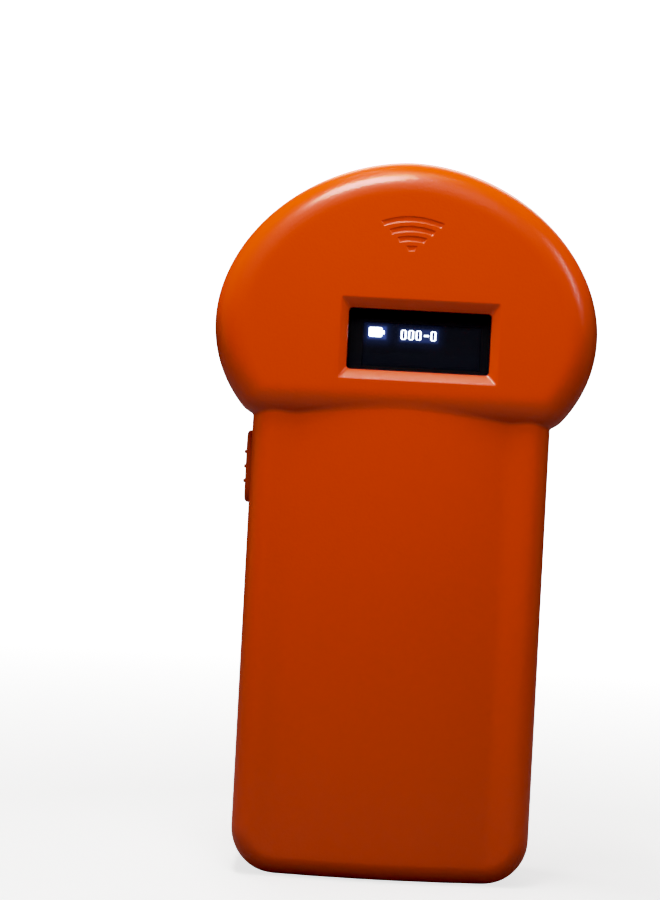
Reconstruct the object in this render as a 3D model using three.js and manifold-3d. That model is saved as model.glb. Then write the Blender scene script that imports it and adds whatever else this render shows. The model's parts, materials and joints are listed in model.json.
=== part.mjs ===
// Handheld pet microchip scanner: a mushroom-shaped reading head on a wide, flat handle.
// Millimetres. +Z runs up the handle to the head, the display faces -Y and +X is on the right of the display.
// The origin is the middle of the flat end of the handle, on the plane where the two casing halves meet.
import * as THREE from 'three';
import { mergeVertices } from 'three/addons/utils/BufferGeometryUtils.js';
import { ConvexGeometry } from 'three/addons/geometries/ConvexGeometry.js';
import { RoundedBoxGeometry } from 'three/addons/geometries/RoundedBoxGeometry.js';
import Module from 'manifold-3d';

const wasm = await Module();
wasm.setup();

// ---- Driving dimensions ----

// How many steps round things are made of, how near two points are welded, and how far a cutter overshoots.
const DETAIL = { edgeSteps: 3, cornerSteps: 4, barSides: 16, screwSides: 12 };
const WELD = 1e-5;
const PAST = 1;

const CASE = { front: -16.5, back: 16.5, wall: 2.4, partingGap: 0.3, reach: 400 };
const LIP = { outerInset: 1.5, height: 1.6, clearance: 0.3 };

// The head's outline is a superellipse: its upper and lower halves have their own reach and power.
// A straight lower edge cuts it where it meets the handle.
const HEAD = {
  halfWidth: 41.6, middleZ: 119.6, topReach: 36.2, lowReach: 32.3, topPower: 1.86, lowPower: 2.08,
  lowerEdgeZ: 98.8, cornerRun: 4.6, cornerSlope: Math.PI / 4, steps: 15,
};
const EDGE = { headFront: 7, headBack: 6, handleFront: 4.5, handleBack: 6 };

// The handle's front has a wide crown, a shallow valley on each side of it and a soft ridge by each edge.
const HANDLE = { halfWidth: 32.3, topZ: 112, endCorner: 10 };
const GRIP = { crownY: -15.7, valleyX: 22.8, valleyY: -13.8, ridgeY: -14.2 };

// The window sits a little right of the middle. Its four bevels lead from the face down to the glass.
const WINDOW = {
  x: 2.7, z: 116.85, width: 30.8, height: 13.3, depth: 1.8, side: 1.75, top: 2.2, bottom: 2.05,
};
const LENS = { gap: 0.15, flange: 2.1, flangeFront: -13.5, flangeBack: -12.5 };
const GASKET = { front: -14.0, back: -13.6, innerGap: 0.6 };
const OLED = { width: 30, height: 11.5, front: -12.4, back: -11.0, round: 0.2 };
const CARRIER = { front: -10.9, back: -8.1, rim: 1.5, slotWidth: 22 };
const RIBBON = { width: 12, thickness: 0.25, foldZ: 106.6, frontY: -11.7, backY: -8.15, topZ: 110.5 };

// Four engraved arcs on the head's axis stand for radio waves. They widen towards the top.
const WAVES = { topZ: 142.9, pitch: 2.1, halfHeight: 0.55, depth: 0.4 };
const WAVE_ARCS = [
  { width: 13.3, radius: 18 },
  { width: 9.5, radius: 14 },
  { width: 6.2, radius: 11 },
  { width: 2.2, radius: 8 },
];

const PCB = {
  front: -8.0, back: -6.4, gap: 0.1,
  lowZ: 3, stepZ: 78, topZ: 134, lowHalfWidth: 18, topHalfWidth: 26, corner: 5,
};
const PCB_SCREW = {
  places: [[-14, 30], [14, 30], [-21, 130], [21, 130]],
  head: 2, headHeight: 1.2, shank: 1, length: 5,
};
const REAR_SCREW = {
  places: [[-22, 14], [22, 14], [-31, 119.6], [31, 119.6]],
  head: 2.5, headHeight: 1.7, shank: 1.25, length: 14.5,
};
const BOSS = { wall: 1.7, clearance: 0.3, seatY: 9, pillarWall: 1.3, meetY: 0.3, blindY: -7.5 };
// The pan head's shape and its cross, as shares of the head's height and radius.
const PAN = { shoulder: 0.6, crown: 0.7 };
const CROSS = { reach: 0.62, halfWidth: 0.25, depth: 0.8 };

const USB = {
  halfWidth: 3.9, front: -6.3, back: -3.5, lowZ: 0.8, topZ: 6.4,
  skin: 0.35, tongue: 0.5, tongueSide: 1.05, cavity: 4.4,
};
const USB_SLOT = { halfWidth: 4.9, halfHeight: 2.3, corner: 1, y: -4.9 };

// The scan button slides into the left wall and pushes the switch behind it.
const BUTTON = {
  y: 0, z: 88, length: 16, width: 7, outerX: -33.6, edge: 0.7, clearance: 0.3,
  flangeLength: 20, flangeWidth: 10.6, flangeX: -29.6, flangeThickness: 1.2,
};
const SWITCH = {
  x: -23.4, z: 88, side: 6, back: -0.4, plungerRadius: 1.6, plungerTip: -27.4, plungerBase: -25.0,
  boreEnd: -24.3, clearance: 0.2, stemGap: 0.1,
};

const BATTERY = { halfWidth: 17, front: 1.6, back: 11.5, lowZ: 26, topZ: 76, round: 2 };
const PAD = { halfWidth: 14, front: 11.7, back: 13.9, lowZ: 32, topZ: 70 };
const CRADLE = { x: 18.4, thickness: 1.2, front: 6 };
const BATTERY_SOCKET = { x: -9, z: 80, width: 7.5, depth: 4.6, height: 4.4, skin: 0.9 };
const BATTERY_PLUG = { gap: 0.3, overhang: 2.6 };
const WIRE = { sides: 6, steps: 8 };
const BATTERY_LEAD = { radius: 0.6, spacing: 1.2, gap: 0.3, startInward: 0.8, rise: 3, bow: 1, drop: 1.5 };

const COIL = { halfWidth: 25, halfHeight: 23, z: 120, band: 3.2, front: 1.5, back: 7.5, steps: 18 };
const COIL_TRAY = { overlap: 1, front: 7.7, back: 9.2, postRadius: 2, postAngle: Math.PI / 4 };
const COIL_LEAD = { radius: 0.35, x: 3, padX: 3.9, padZ: 94.5, gap: 0.3, straight: 2, sag: 0.5 };

const BUZZER = { x: 12, z: 84, radius: 6, back: -0.6, holeRadius: 1.6, holeDepth: 1.2 };
const SOUND_SLOTS = { count: 3, pitch: 3, halfLength: 4, halfWidth: 0.7 };
const LABEL = {
  halfWidth: 20, z: 50, halfHeight: 13, thickness: 0.3, recess: 0.4, glue: 0.05, corner: 2, gap: 0.3,
};

// Each chip: its middle on the board, its body and how many legs it has along each pair of sides.
const CHIPS = {
  mcu_chip: { x: -5, z: 114, width: 8, depth: 1.4, height: 8, legsX: 8, legsZ: 8 },
  reader_chip: { x: 9, z: 112, width: 3.9, depth: 1.5, height: 8.7, legsX: 7, legsZ: 0 },
  charger_chip: { x: 9, z: 18, width: 3.9, depth: 1.5, height: 4.9, legsX: 4, legsZ: 0 },
};
const LEG = { pitch: 0.95, width: 0.4, thickness: 0.25, reach: 0.9 };
const CRYSTAL = { x: -16, z: 112, halfLength: 5.6, halfWidth: 2.3, depth: 3.4 };
const INDUCTOR = { x: -9, z: 18, side: 6, depth: 3, round: 0.8 };
const TUNING_CAPACITORS = { x: 19, z: [98, 106], width: 7.2, height: 3.2, depth: 6, round: 0.5 };

// ---- Solids ----

function solid(geometry) {
  const bare = geometry.clone();
  bare.deleteAttribute('normal');
  bare.deleteAttribute('uv');
  const merged = mergeVertices(bare, WELD);
  const mesh = new wasm.Mesh({
    numProp: 3,
    vertProperties: Float32Array.from(merged.attributes.position.array),
    triVerts: Uint32Array.from(merged.index.array),
  });
  return new wasm.Manifold(mesh);
}

function geometryOf(manifold) {
  const mesh = manifold.getMesh();
  const geometry = new THREE.BufferGeometry();
  geometry.setAttribute('position', new THREE.BufferAttribute(mesh.vertProperties, 3));
  geometry.setIndex(new THREE.BufferAttribute(mesh.triVerts, 1));
  geometry.computeVertexNormals();
  return geometry;
}

function block(x0, x1, y0, y1, z0, z1) {
  const box = new THREE.BoxGeometry(x1 - x0, y1 - y0, z1 - z0);
  return solid(box.translate((x0 + x1) / 2, (y0 + y1) / 2, (z0 + z1) / 2));
}

function softBlock(x, z, width, height, front, back, round) {
  const box = new RoundedBoxGeometry(width, back - front, height, 1, round);
  return solid(box.translate(x, (front + back) / 2, z));
}

// A shape drawn in X and Z becomes a plate between two Y planes.
// With an edge, both faces round over by that radius inside the outline.
function plate(shape, front, back, edge = 0) {
  const geometry = new THREE.ExtrudeGeometry(shape, {
    depth: back - front - 2 * edge,
    bevelEnabled: edge > 0,
    bevelThickness: edge,
    bevelSize: edge,
    bevelOffset: -edge,
    bevelSegments: DETAIL.edgeSteps,
    curveSegments: DETAIL.cornerSteps,
  });
  return solid(geometry.rotateX(Math.PI / 2).translate(0, back - edge, 0));
}

// A round bar along Y.
function bar(x, z, radius, y0, y1, sides = DETAIL.barSides) {
  const cylinder = new THREE.CylinderGeometry(radius, radius, y1 - y0, sides);
  return solid(cylinder.translate(x, (y0 + y1) / 2, z));
}

// A round bar along X.
function barAlongX(x0, x1, y, z, radius) {
  const cylinder = new THREE.CylinderGeometry(radius, radius, x1 - x0, DETAIL.barSides);
  return solid(cylinder.rotateZ(Math.PI / 2).translate((x0 + x1) / 2, y, z));
}

function wire(points, radius) {
  const path = new THREE.CatmullRomCurve3(points.map((p) => new THREE.Vector3(...p)));
  const section = new THREE.Shape();
  section.absarc(0, 0, radius, 0, 2 * Math.PI);
  const { steps, sides } = WIRE;
  const options = { extrudePath: path, steps, curveSegments: sides / 2, bevelEnabled: false };
  return solid(new THREE.ExtrudeGeometry(section, options));
}

function roundedRectangle(x0, x1, z0, z1, corner) {
  const shape = new THREE.Shape();
  shape.moveTo(x0 + corner, z0);
  shape.lineTo(x1 - corner, z0);
  shape.absarc(x1 - corner, z0 + corner, corner, -Math.PI / 2, 0);
  shape.lineTo(x1, z1 - corner);
  shape.absarc(x1 - corner, z1 - corner, corner, 0, Math.PI / 2);
  shape.lineTo(x0 + corner, z1);
  shape.absarc(x0 + corner, z1 - corner, corner, Math.PI / 2, Math.PI);
  shape.lineTo(x0, z0 + corner);
  shape.absarc(x0 + corner, z0 + corner, corner, Math.PI, 1.5 * Math.PI);
  return shape;
}

function ellipseRing(outerX, outerZ, band, z) {
  const shape = new THREE.Shape();
  shape.absellipse(0, z, outerX, outerZ, 0, 2 * Math.PI);
  const hole = new THREE.Path();
  hole.absellipse(0, z, outerX - band, outerZ - band, 0, 2 * Math.PI);
  shape.holes.push(hole);
  return shape;
}

// ---- Casing ----

function headOutline(inset) {
  const halfWidth = HEAD.halfWidth - inset;
  const topReach = HEAD.topReach - inset;
  const lowReach = HEAD.lowReach - inset;
  const edgeZ = HEAD.lowerEdgeZ + inset;
  const point = (angle) => {
    const upper = angle > 0 && angle < Math.PI;
    const reach = upper ? topReach : lowReach;
    const power = upper ? HEAD.topPower : HEAD.lowPower;
    const along = Math.cos(angle);
    const up = Math.sin(angle);
    return new THREE.Vector2(
      halfWidth * Math.sign(along) * Math.abs(along) ** (2 / power),
      HEAD.middleZ + reach * Math.sign(up) * Math.abs(up) ** (2 / power),
    );
  };
  const angleAt = (z) => -Math.asin(((HEAD.middleZ - z) / lowReach) ** (HEAD.lowPower / 2));
  const corner = point(angleAt(edgeZ));
  const start = angleAt(edgeZ + HEAD.cornerRun * Math.sin(HEAD.cornerSlope));
  const sweep = Math.PI - 2 * start;
  const shape = new THREE.Shape();
  shape.moveTo(corner.x - HEAD.cornerRun, edgeZ);
  shape.quadraticCurveTo(corner.x, edgeZ, point(start).x, point(start).y);
  for (let step = 1; step <= 2 * HEAD.steps; step += 1) {
    const p = point(start + (sweep * step) / (2 * HEAD.steps));
    shape.lineTo(p.x, p.y);
  }
  shape.quadraticCurveTo(-corner.x, edgeZ, HEAD.cornerRun - corner.x, edgeZ);
  return shape;
}

function headSolid(inset, edge) {
  return plate(headOutline(inset), CASE.front + inset, CASE.back - inset, edge - inset);
}

function handleOutline(inset) {
  const halfWidth = HANDLE.halfWidth - inset;
  return roundedRectangle(-halfWidth, halfWidth, inset, HANDLE.topZ, HANDLE.endCorner - inset);
}

// The front face's section: side walls, edge rounds, ridges, valleys and the crown between them.
function gripSection(inset) {
  const side = HANDLE.halfWidth - inset;
  const round = EDGE.handleFront - inset;
  const ridgeX = side - round;
  const ridgeY = GRIP.ridgeY + inset;
  const valleyY = GRIP.valleyY + inset;
  const crownY = GRIP.crownY + inset;
  const soft = (ridgeX - GRIP.valleyX) / 2;
  const crownRise = valleyY - crownY;
  const crownRadius = (GRIP.valleyX ** 2 + crownRise ** 2) / (2 * crownRise);
  const crownAngle = Math.asin(GRIP.valleyX / crownRadius);
  const shape = new THREE.Shape();
  shape.moveTo(-side, CASE.back);
  shape.lineTo(-side, ridgeY + round);
  shape.absarc(-ridgeX, ridgeY + round, round, Math.PI, 1.5 * Math.PI);
  shape.bezierCurveTo(-ridgeX + soft, ridgeY, -GRIP.valleyX - soft, valleyY, -GRIP.valleyX, valleyY);
  shape.absarc(0, crownY + crownRadius, crownRadius, 1.5 * Math.PI - crownAngle, 1.5 * Math.PI + crownAngle);
  shape.bezierCurveTo(GRIP.valleyX + soft, valleyY, ridgeX - soft, ridgeY, ridgeX, ridgeY);
  shape.absarc(ridgeX, ridgeY + round, round, 1.5 * Math.PI, 2 * Math.PI);
  shape.lineTo(side, CASE.back);
  return shape;
}

function frontHandle(inset) {
  const blank = plate(handleOutline(inset), GRIP.crownY + inset, CASE.back, EDGE.handleFront - inset);
  const section = new THREE.ExtrudeGeometry(gripSection(inset), {
    depth: HANDLE.topZ,
    bevelEnabled: false,
    curveSegments: DETAIL.cornerSteps,
  });
  return blank.intersect(solid(section));
}

function rearHandle(inset) {
  return plate(handleOutline(inset), CASE.front, CASE.back - inset, EDGE.handleBack - inset);
}

function frontBody(inset) {
  return headSolid(inset, EDGE.headFront).add(frontHandle(inset));
}

function rearBody(inset) {
  return headSolid(inset, EDGE.headBack).add(rearHandle(inset));
}

function slab(y0, y1) {
  return block(-CASE.reach, CASE.reach, y0, y1, -CASE.reach, CASE.reach);
}

function buttonSlot(clearance) {
  const halfLength = BUTTON.length / 2 + clearance;
  const halfWidth = BUTTON.width / 2 + clearance;
  const shape = new THREE.Shape();
  shape.absarc(halfLength - halfWidth, 0, halfWidth, -Math.PI / 2, Math.PI / 2);
  shape.absarc(halfWidth - halfLength, 0, halfWidth, Math.PI / 2, 1.5 * Math.PI);
  return shape;
}

// The slot's shape is drawn along Z and Y, and runs along X.
function alongX(shape, x0, x1, options = {}) {
  const geometry = new THREE.ExtrudeGeometry(shape, { depth: x1 - x0, bevelEnabled: false, ...options });
  return solid(geometry.rotateY(-Math.PI / 2).translate(x1, BUTTON.y, BUTTON.z));
}

function buttonOpening() {
  return alongX(buttonSlot(BUTTON.clearance), BUTTON.outerX, BUTTON.flangeX + BUTTON.flangeThickness);
}

function windowFunnel() {
  const halfWidth = WINDOW.width / 2;
  const halfHeight = WINDOW.height / 2;
  const glassY = CASE.front + WINDOW.depth;
  const flare = 1 + PAST / WINDOW.depth;
  const corners = [];
  for (const side of [-1, 1]) {
    corners.push(new THREE.Vector3(side * halfWidth, glassY, halfHeight));
    corners.push(new THREE.Vector3(side * halfWidth, glassY, -halfHeight));
    const outerX = side * (halfWidth + WINDOW.side * flare);
    corners.push(new THREE.Vector3(outerX, CASE.front - PAST, halfHeight + WINDOW.top * flare));
    corners.push(new THREE.Vector3(outerX, CASE.front - PAST, -halfHeight - WINDOW.bottom * flare));
  }
  return solid(new ConvexGeometry(corners).translate(WINDOW.x, 0, WINDOW.z));
}

function aroundWindow(margin, front, back) {
  const halfWidth = WINDOW.width / 2 + margin;
  const halfHeight = WINDOW.height / 2 + margin;
  const { x, z } = WINDOW;
  return block(x - halfWidth, x + halfWidth, front, back, z - halfHeight, z + halfHeight);
}

function windowOpening() {
  return windowFunnel().add(aroundWindow(0, CASE.front + WINDOW.depth / 2, LENS.flangeBack));
}

function waveGrooves() {
  const grooves = WAVE_ARCS.map(({ width, radius }, index) => {
    const apexZ = WAVES.topZ - index * WAVES.pitch;
    const half = Math.asin(width / 2 / radius);
    const shape = new THREE.Shape();
    shape.absarc(0, apexZ - radius, radius + WAVES.halfHeight, Math.PI / 2 - half, Math.PI / 2 + half);
    shape.absarc(0, apexZ - radius, radius - WAVES.halfHeight, Math.PI / 2 + half, Math.PI / 2 - half, true);
    return plate(shape, CASE.front - PAST, CASE.front + WAVES.depth);
  });
  return grooves.reduce((all, groove) => all.add(groove));
}

function usbSlot() {
  const { halfWidth, halfHeight, corner, y } = USB_SLOT;
  const shape = roundedRectangle(-halfWidth, halfWidth, -halfHeight, halfHeight, corner);
  const options = { depth: 2 * CASE.wall, bevelEnabled: false, curveSegments: DETAIL.cornerSteps };
  return solid(new THREE.ExtrudeGeometry(shape, options).translate(0, y, -CASE.wall / 2));
}

// Bosses reach from the front wall to the board, and to the rear casing's pillars.
function barsAt(places, radius, y0, y1) {
  return places.map(([x, z]) => bar(x, z, radius, y0, y1)).reduce((all, one) => all.add(one));
}

function frontBosses() {
  const rear = barsAt(REAR_SCREW.places, REAR_SCREW.shank + BOSS.wall, CASE.front, -BOSS.meetY);
  return rear.add(barsAt(PCB_SCREW.places, PCB_SCREW.shank + BOSS.wall, CASE.front, PCB.front - PCB.gap));
}

function frontBossHoles() {
  const deep = PCB.back - PCB_SCREW.length - BOSS.clearance;
  const rear = barsAt(REAR_SCREW.places, REAR_SCREW.shank + BOSS.clearance, BOSS.blindY, PAST);
  return rear.add(barsAt(PCB_SCREW.places, PCB_SCREW.shank + BOSS.clearance, deep, PCB.back));
}

function rearPillars() {
  return barsAt(REAR_SCREW.places, REAR_SCREW.head + BOSS.clearance + BOSS.pillarWall, BOSS.meetY, CASE.back);
}

function rearScrewHoles() {
  const { places, shank, head } = REAR_SCREW;
  const shanks = barsAt(places, shank + BOSS.clearance, -PAST, CASE.back);
  return shanks.add(barsAt(places, head + BOSS.clearance, BOSS.seatY, CASE.back + PAST));
}

// Two ribs hold the battery's sides, and four posts hold the coil's tray.
function rearRibs() {
  const wallY = CASE.back - CASE.wall / 2;
  const parts = [-1, 1].map((side) => {
    const near = side * CRADLE.x;
    const far = side * (CRADLE.x + CRADLE.thickness);
    return block(Math.min(near, far), Math.max(near, far), CRADLE.front, wallY, PAD.lowZ, PAD.topZ);
  });
  const reachX = COIL.halfWidth - COIL.band / 2;
  const reachZ = COIL.halfHeight - COIL.band / 2;
  for (let quarter = 0; quarter < 4; quarter += 1) {
    const angle = COIL_TRAY.postAngle + (quarter * Math.PI) / 2;
    const x = reachX * Math.cos(angle);
    const z = COIL.z + reachZ * Math.sin(angle);
    parts.push(bar(x, z, COIL_TRAY.postRadius, COIL_TRAY.back + PCB.gap, wallY));
  }
  return parts.reduce((all, part) => all.add(part));
}

function soundSlots() {
  const slots = [];
  for (let index = 0; index < SOUND_SLOTS.count; index += 1) {
    const z = BUZZER.z + (index - (SOUND_SLOTS.count - 1) / 2) * SOUND_SLOTS.pitch;
    const { halfLength, halfWidth } = SOUND_SLOTS;
    const { x } = BUZZER;
    const shape = roundedRectangle(x - halfLength, x + halfLength, z - halfWidth, z + halfWidth, halfWidth);
    slots.push(plate(shape, BATTERY.back, CASE.back + PAST));
  }
  return slots.reduce((all, slot) => all.add(slot));
}

function labelShape(gap) {
  const { z, corner } = LABEL;
  const halfWidth = LABEL.halfWidth - gap;
  const halfHeight = LABEL.halfHeight - gap;
  return roundedRectangle(-halfWidth, halfWidth, z - halfHeight, z + halfHeight, corner - gap);
}

function frontShell() {
  const half = slab(CASE.front - PAST, -CASE.partingGap / 2);
  const rebate = frontBody(LIP.outerInset - LIP.clearance).intersect(slab(-LIP.height - LIP.clearance, PAST));
  return frontBody(0)
    .subtract(frontBody(CASE.wall))
    .subtract(rebate)
    .add(frontBosses().intersect(frontBody(CASE.wall / 2)))
    .intersect(half)
    .subtract(frontBossHoles())
    .subtract(windowOpening())
    .subtract(waveGrooves())
    .subtract(buttonOpening())
    .subtract(usbSlot());
}

function rearShell() {
  const half = slab(CASE.partingGap / 2, CASE.back + PAST);
  const band = frontBody(LIP.outerInset).subtract(frontBody(CASE.wall));
  const lip = band.intersect(slab(-LIP.height, CASE.wall));
  return rearBody(0)
    .subtract(rearBody(CASE.wall))
    .add(rearPillars().intersect(rearBody(CASE.wall / 2)))
    .add(rearRibs())
    .intersect(half)
    .add(lip)
    .subtract(rearScrewHoles())
    .subtract(soundSlots())
    .subtract(plate(labelShape(0), CASE.back - LABEL.recess, CASE.back + PAST))
    .subtract(buttonOpening());
}

// ---- Display ----

function displayWindow() {
  const plateau = aroundWindow(-LENS.gap, CASE.front + WINDOW.depth, LENS.flangeBack);
  return plateau.add(aroundWindow(LENS.flange, LENS.flangeFront, LENS.flangeBack));
}

function windowGasket() {
  const ring = aroundWindow(LENS.flange, GASKET.front, GASKET.back);
  return ring.subtract(aroundWindow(GASKET.innerGap, GASKET.front - PAST, GASKET.back + PAST));
}

function oledPanel() {
  return softBlock(WINDOW.x, WINDOW.z, OLED.width, OLED.height, OLED.front, OLED.back, OLED.round);
}

function oledCarrier() {
  const { x, z } = WINDOW;
  const halfWidth = OLED.width / 2 + CARRIER.rim;
  const halfSlot = CARRIER.slotWidth / 2;
  const lowZ = z - OLED.height / 2;
  const topZ = z + OLED.height / 2 + CARRIER.rim;
  const body = block(x - halfWidth, x + halfWidth, CARRIER.front, CARRIER.back, lowZ, topZ);
  const slot = block(x - halfSlot, x + halfSlot, CARRIER.front - PAST, CARRIER.back + PAST,
    z - CARRIER.rim, z + CARRIER.rim);
  return body.subtract(slot);
}

// A flat cable hangs from the panel's lower edge and folds back up onto the board.
function oledRibbon() {
  const middleY = (RIBBON.frontY + RIBBON.backY) / 2;
  const outer = (RIBBON.backY - RIBBON.frontY) / 2;
  const inner = outer - RIBBON.thickness;
  const shape = new THREE.Shape();
  shape.moveTo(middleY - inner, RIBBON.topZ);
  shape.lineTo(middleY - outer, RIBBON.topZ);
  shape.absarc(middleY, RIBBON.foldZ, outer, Math.PI, 2 * Math.PI);
  shape.lineTo(middleY + outer, RIBBON.topZ);
  shape.lineTo(middleY + inner, RIBBON.topZ);
  shape.absarc(middleY, RIBBON.foldZ, inner, 2 * Math.PI, Math.PI, true);
  const options = { depth: RIBBON.width, bevelEnabled: false, curveSegments: DETAIL.cornerSteps };
  const geometry = new THREE.ExtrudeGeometry(shape, options).rotateX(Math.PI / 2).rotateZ(Math.PI / 2);
  return solid(geometry.translate(WINDOW.x - RIBBON.width / 2, 0, 0));
}

// ---- Circuit board and its components ----

function mainPcb() {
  const { lowHalfWidth, topHalfWidth, lowZ, stepZ, topZ, corner } = PCB;
  const shape = new THREE.Shape();
  shape.moveTo(-lowHalfWidth, lowZ);
  shape.lineTo(lowHalfWidth, lowZ);
  shape.lineTo(lowHalfWidth, stepZ);
  shape.lineTo(topHalfWidth, stepZ);
  shape.lineTo(topHalfWidth, topZ - corner);
  shape.absarc(topHalfWidth - corner, topZ - corner, corner, 0, Math.PI / 2);
  shape.lineTo(corner - topHalfWidth, topZ);
  shape.absarc(corner - topHalfWidth, topZ - corner, corner, Math.PI / 2, Math.PI);
  shape.lineTo(-topHalfWidth, stepZ);
  shape.lineTo(-lowHalfWidth, stepZ);
  const holes = barsAt(PCB_SCREW.places, PCB_SCREW.shank + BOSS.clearance, PCB.front - PAST, PCB.back + PAST);
  return plate(shape, PCB.front, PCB.back).subtract(holes);
}

function onBoard(x, z, width, height, depth) {
  const front = PCB.back + PCB.gap;
  return block(x - width / 2, x + width / 2, front, front + depth, z - height / 2, z + height / 2);
}

function leggedChip({ x, z, width, depth, height, legsX, legsZ }) {
  let chip = onBoard(x, z, width, height, depth);
  for (let leg = 0; leg < legsX; leg += 1) {
    const offset = (leg - (legsX - 1) / 2) * LEG.pitch;
    chip = chip.add(onBoard(x, z + offset, width + 2 * LEG.reach, LEG.width, LEG.thickness));
  }
  for (let leg = 0; leg < legsZ; leg += 1) {
    const offset = (leg - (legsZ - 1) / 2) * LEG.pitch;
    chip = chip.add(onBoard(x + offset, z, LEG.width, height + 2 * LEG.reach, LEG.thickness));
  }
  return chip;
}

function crystal() {
  const { x, z, halfLength, halfWidth, depth } = CRYSTAL;
  const shape = new THREE.Shape();
  shape.absarc(x, z + halfLength - halfWidth, halfWidth, 0, Math.PI);
  shape.absarc(x, z - halfLength + halfWidth, halfWidth, Math.PI, 2 * Math.PI);
  return plate(shape, PCB.back + PCB.gap, PCB.back + PCB.gap + depth);
}

function raisedBlock({ x, z, width, height, depth, round }) {
  const front = PCB.back + PCB.gap;
  return softBlock(x, z, width, height, front, front + depth, round);
}

function buzzer() {
  const can = bar(BUZZER.x, BUZZER.z, BUZZER.radius, PCB.back + PCB.gap, BUZZER.back, 2 * DETAIL.barSides);
  return can.subtract(bar(BUZZER.x, BUZZER.z, BUZZER.holeRadius, BUZZER.back - BUZZER.holeDepth, 0));
}

function usbSocket() {
  const shell = block(-USB.halfWidth, USB.halfWidth, USB.front, USB.back, USB.lowZ, USB.topZ);
  const inside = USB.halfWidth - USB.skin;
  const cavity = block(-inside, inside, USB.front + USB.skin, USB.back - USB.skin,
    USB.lowZ - PAST, USB.lowZ + USB.cavity);
  const middle = (USB.front + USB.back) / 2;
  const tongueHalf = USB.halfWidth - USB.tongueSide;
  const tongue = block(-tongueHalf, tongueHalf, middle - USB.tongue / 2, middle + USB.tongue / 2,
    USB.lowZ + USB.skin, USB.topZ - USB.skin);
  return shell.subtract(cavity).add(tongue);
}

// ---- Scan button and its switch ----

function switchAxisY() {
  return (PCB.back + PCB.gap + SWITCH.back) / 2;
}

function scanButton() {
  const cap = alongX(buttonSlot(0), BUTTON.outerX + BUTTON.edge, BUTTON.flangeX, {
    bevelEnabled: true,
    bevelThickness: BUTTON.edge,
    bevelSize: BUTTON.edge,
    bevelOffset: -BUTTON.edge,
    bevelSegments: DETAIL.edgeSteps,
    curveSegments: DETAIL.cornerSteps,
  });
  const flangeBack = BUTTON.flangeX + BUTTON.flangeThickness;
  const halfWidth = BUTTON.flangeWidth / 2;
  const halfLength = BUTTON.flangeLength / 2;
  const flange = block(BUTTON.flangeX, flangeBack, BUTTON.y - halfWidth, BUTTON.y + halfWidth,
    BUTTON.z - halfLength, BUTTON.z + halfLength);
  const stemEnd = SWITCH.plungerTip - SWITCH.stemGap;
  const stem = barAlongX(BUTTON.flangeX, stemEnd, switchAxisY(), SWITCH.z, SWITCH.plungerRadius);
  return cap.add(flange).add(stem);
}

function tactSwitchBody() {
  const halfSide = SWITCH.side / 2;
  const body = block(SWITCH.x - halfSide, SWITCH.x + halfSide, PCB.back + PCB.gap, SWITCH.back,
    SWITCH.z - halfSide, SWITCH.z + halfSide);
  const bore = SWITCH.plungerRadius + SWITCH.clearance;
  return body.subtract(barAlongX(SWITCH.plungerTip, SWITCH.boreEnd, switchAxisY(), SWITCH.z, bore));
}

function tactSwitchPlunger() {
  return barAlongX(SWITCH.plungerTip, SWITCH.plungerBase, switchAxisY(), SWITCH.z, SWITCH.plungerRadius);
}

// ---- Battery ----

function batteryCell() {
  const { halfWidth, front, back, lowZ, topZ, round } = BATTERY;
  return softBlock(0, (lowZ + topZ) / 2, 2 * halfWidth, topZ - lowZ, front, back, round);
}

function batteryPad() {
  return block(-PAD.halfWidth, PAD.halfWidth, PAD.front, PAD.back, PAD.lowZ, PAD.topZ);
}

// The socket is a cup that opens away from the board, and the plug sits in it.
function batterySocket() {
  const { x, z, width, height, depth, skin } = BATTERY_SOCKET;
  const cup = onBoard(x, z, width, height, depth);
  const floor = PCB.back + PCB.gap + skin;
  const pocket = block(x - width / 2 + skin, x + width / 2 - skin, floor, CASE.back,
    z - height / 2 + skin, z + height / 2 - skin);
  return cup.subtract(pocket);
}

function plugBackY() {
  return PCB.back + PCB.gap + BATTERY_SOCKET.depth + BATTERY_PLUG.overhang;
}

function batteryPlug() {
  const { x, z, width, height, skin } = BATTERY_SOCKET;
  const inset = skin + BATTERY_PLUG.gap;
  const front = PCB.back + PCB.gap + inset;
  return block(x - width / 2 + inset, x + width / 2 - inset, front, plugBackY(),
    z - height / 2 + inset, z + height / 2 - inset);
}

// A lead rises from the top of the cell and turns into the plug.
function batteryLead(side) {
  const { radius, spacing, gap, startInward, rise, bow, drop } = BATTERY_LEAD;
  const x = BATTERY_SOCKET.x + side * spacing;
  const startX = x * startInward;
  const cellY = (BATTERY.front + BATTERY.back) / 2;
  const plugY = plugBackY() + gap;
  const bendY = (cellY + plugY) / 2 + radius + bow;
  return wire([
    [startX, cellY, BATTERY.topZ + gap],
    [startX, cellY, BATTERY.topZ + rise],
    [x, bendY, BATTERY_SOCKET.z + drop],
    [x, plugY + drop, BATTERY_SOCKET.z],
    [x, plugY, BATTERY_SOCKET.z],
  ], radius);
}

// ---- Antenna ----

function ringPlate(shape, front, back) {
  const options = { depth: back - front, bevelEnabled: false, curveSegments: COIL.steps };
  return solid(new THREE.ExtrudeGeometry(shape, options).rotateX(Math.PI / 2).translate(0, back, 0));
}

function antennaCoil() {
  return ringPlate(ellipseRing(COIL.halfWidth, COIL.halfHeight, COIL.band, COIL.z), COIL.front, COIL.back);
}

function coilTray() {
  const { overlap, front, back } = COIL_TRAY;
  const band = COIL.band + 2 * overlap;
  const ring = ellipseRing(COIL.halfWidth + overlap, COIL.halfHeight + overlap, band, COIL.z);
  return ringPlate(ring, front, back);
}

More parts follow.
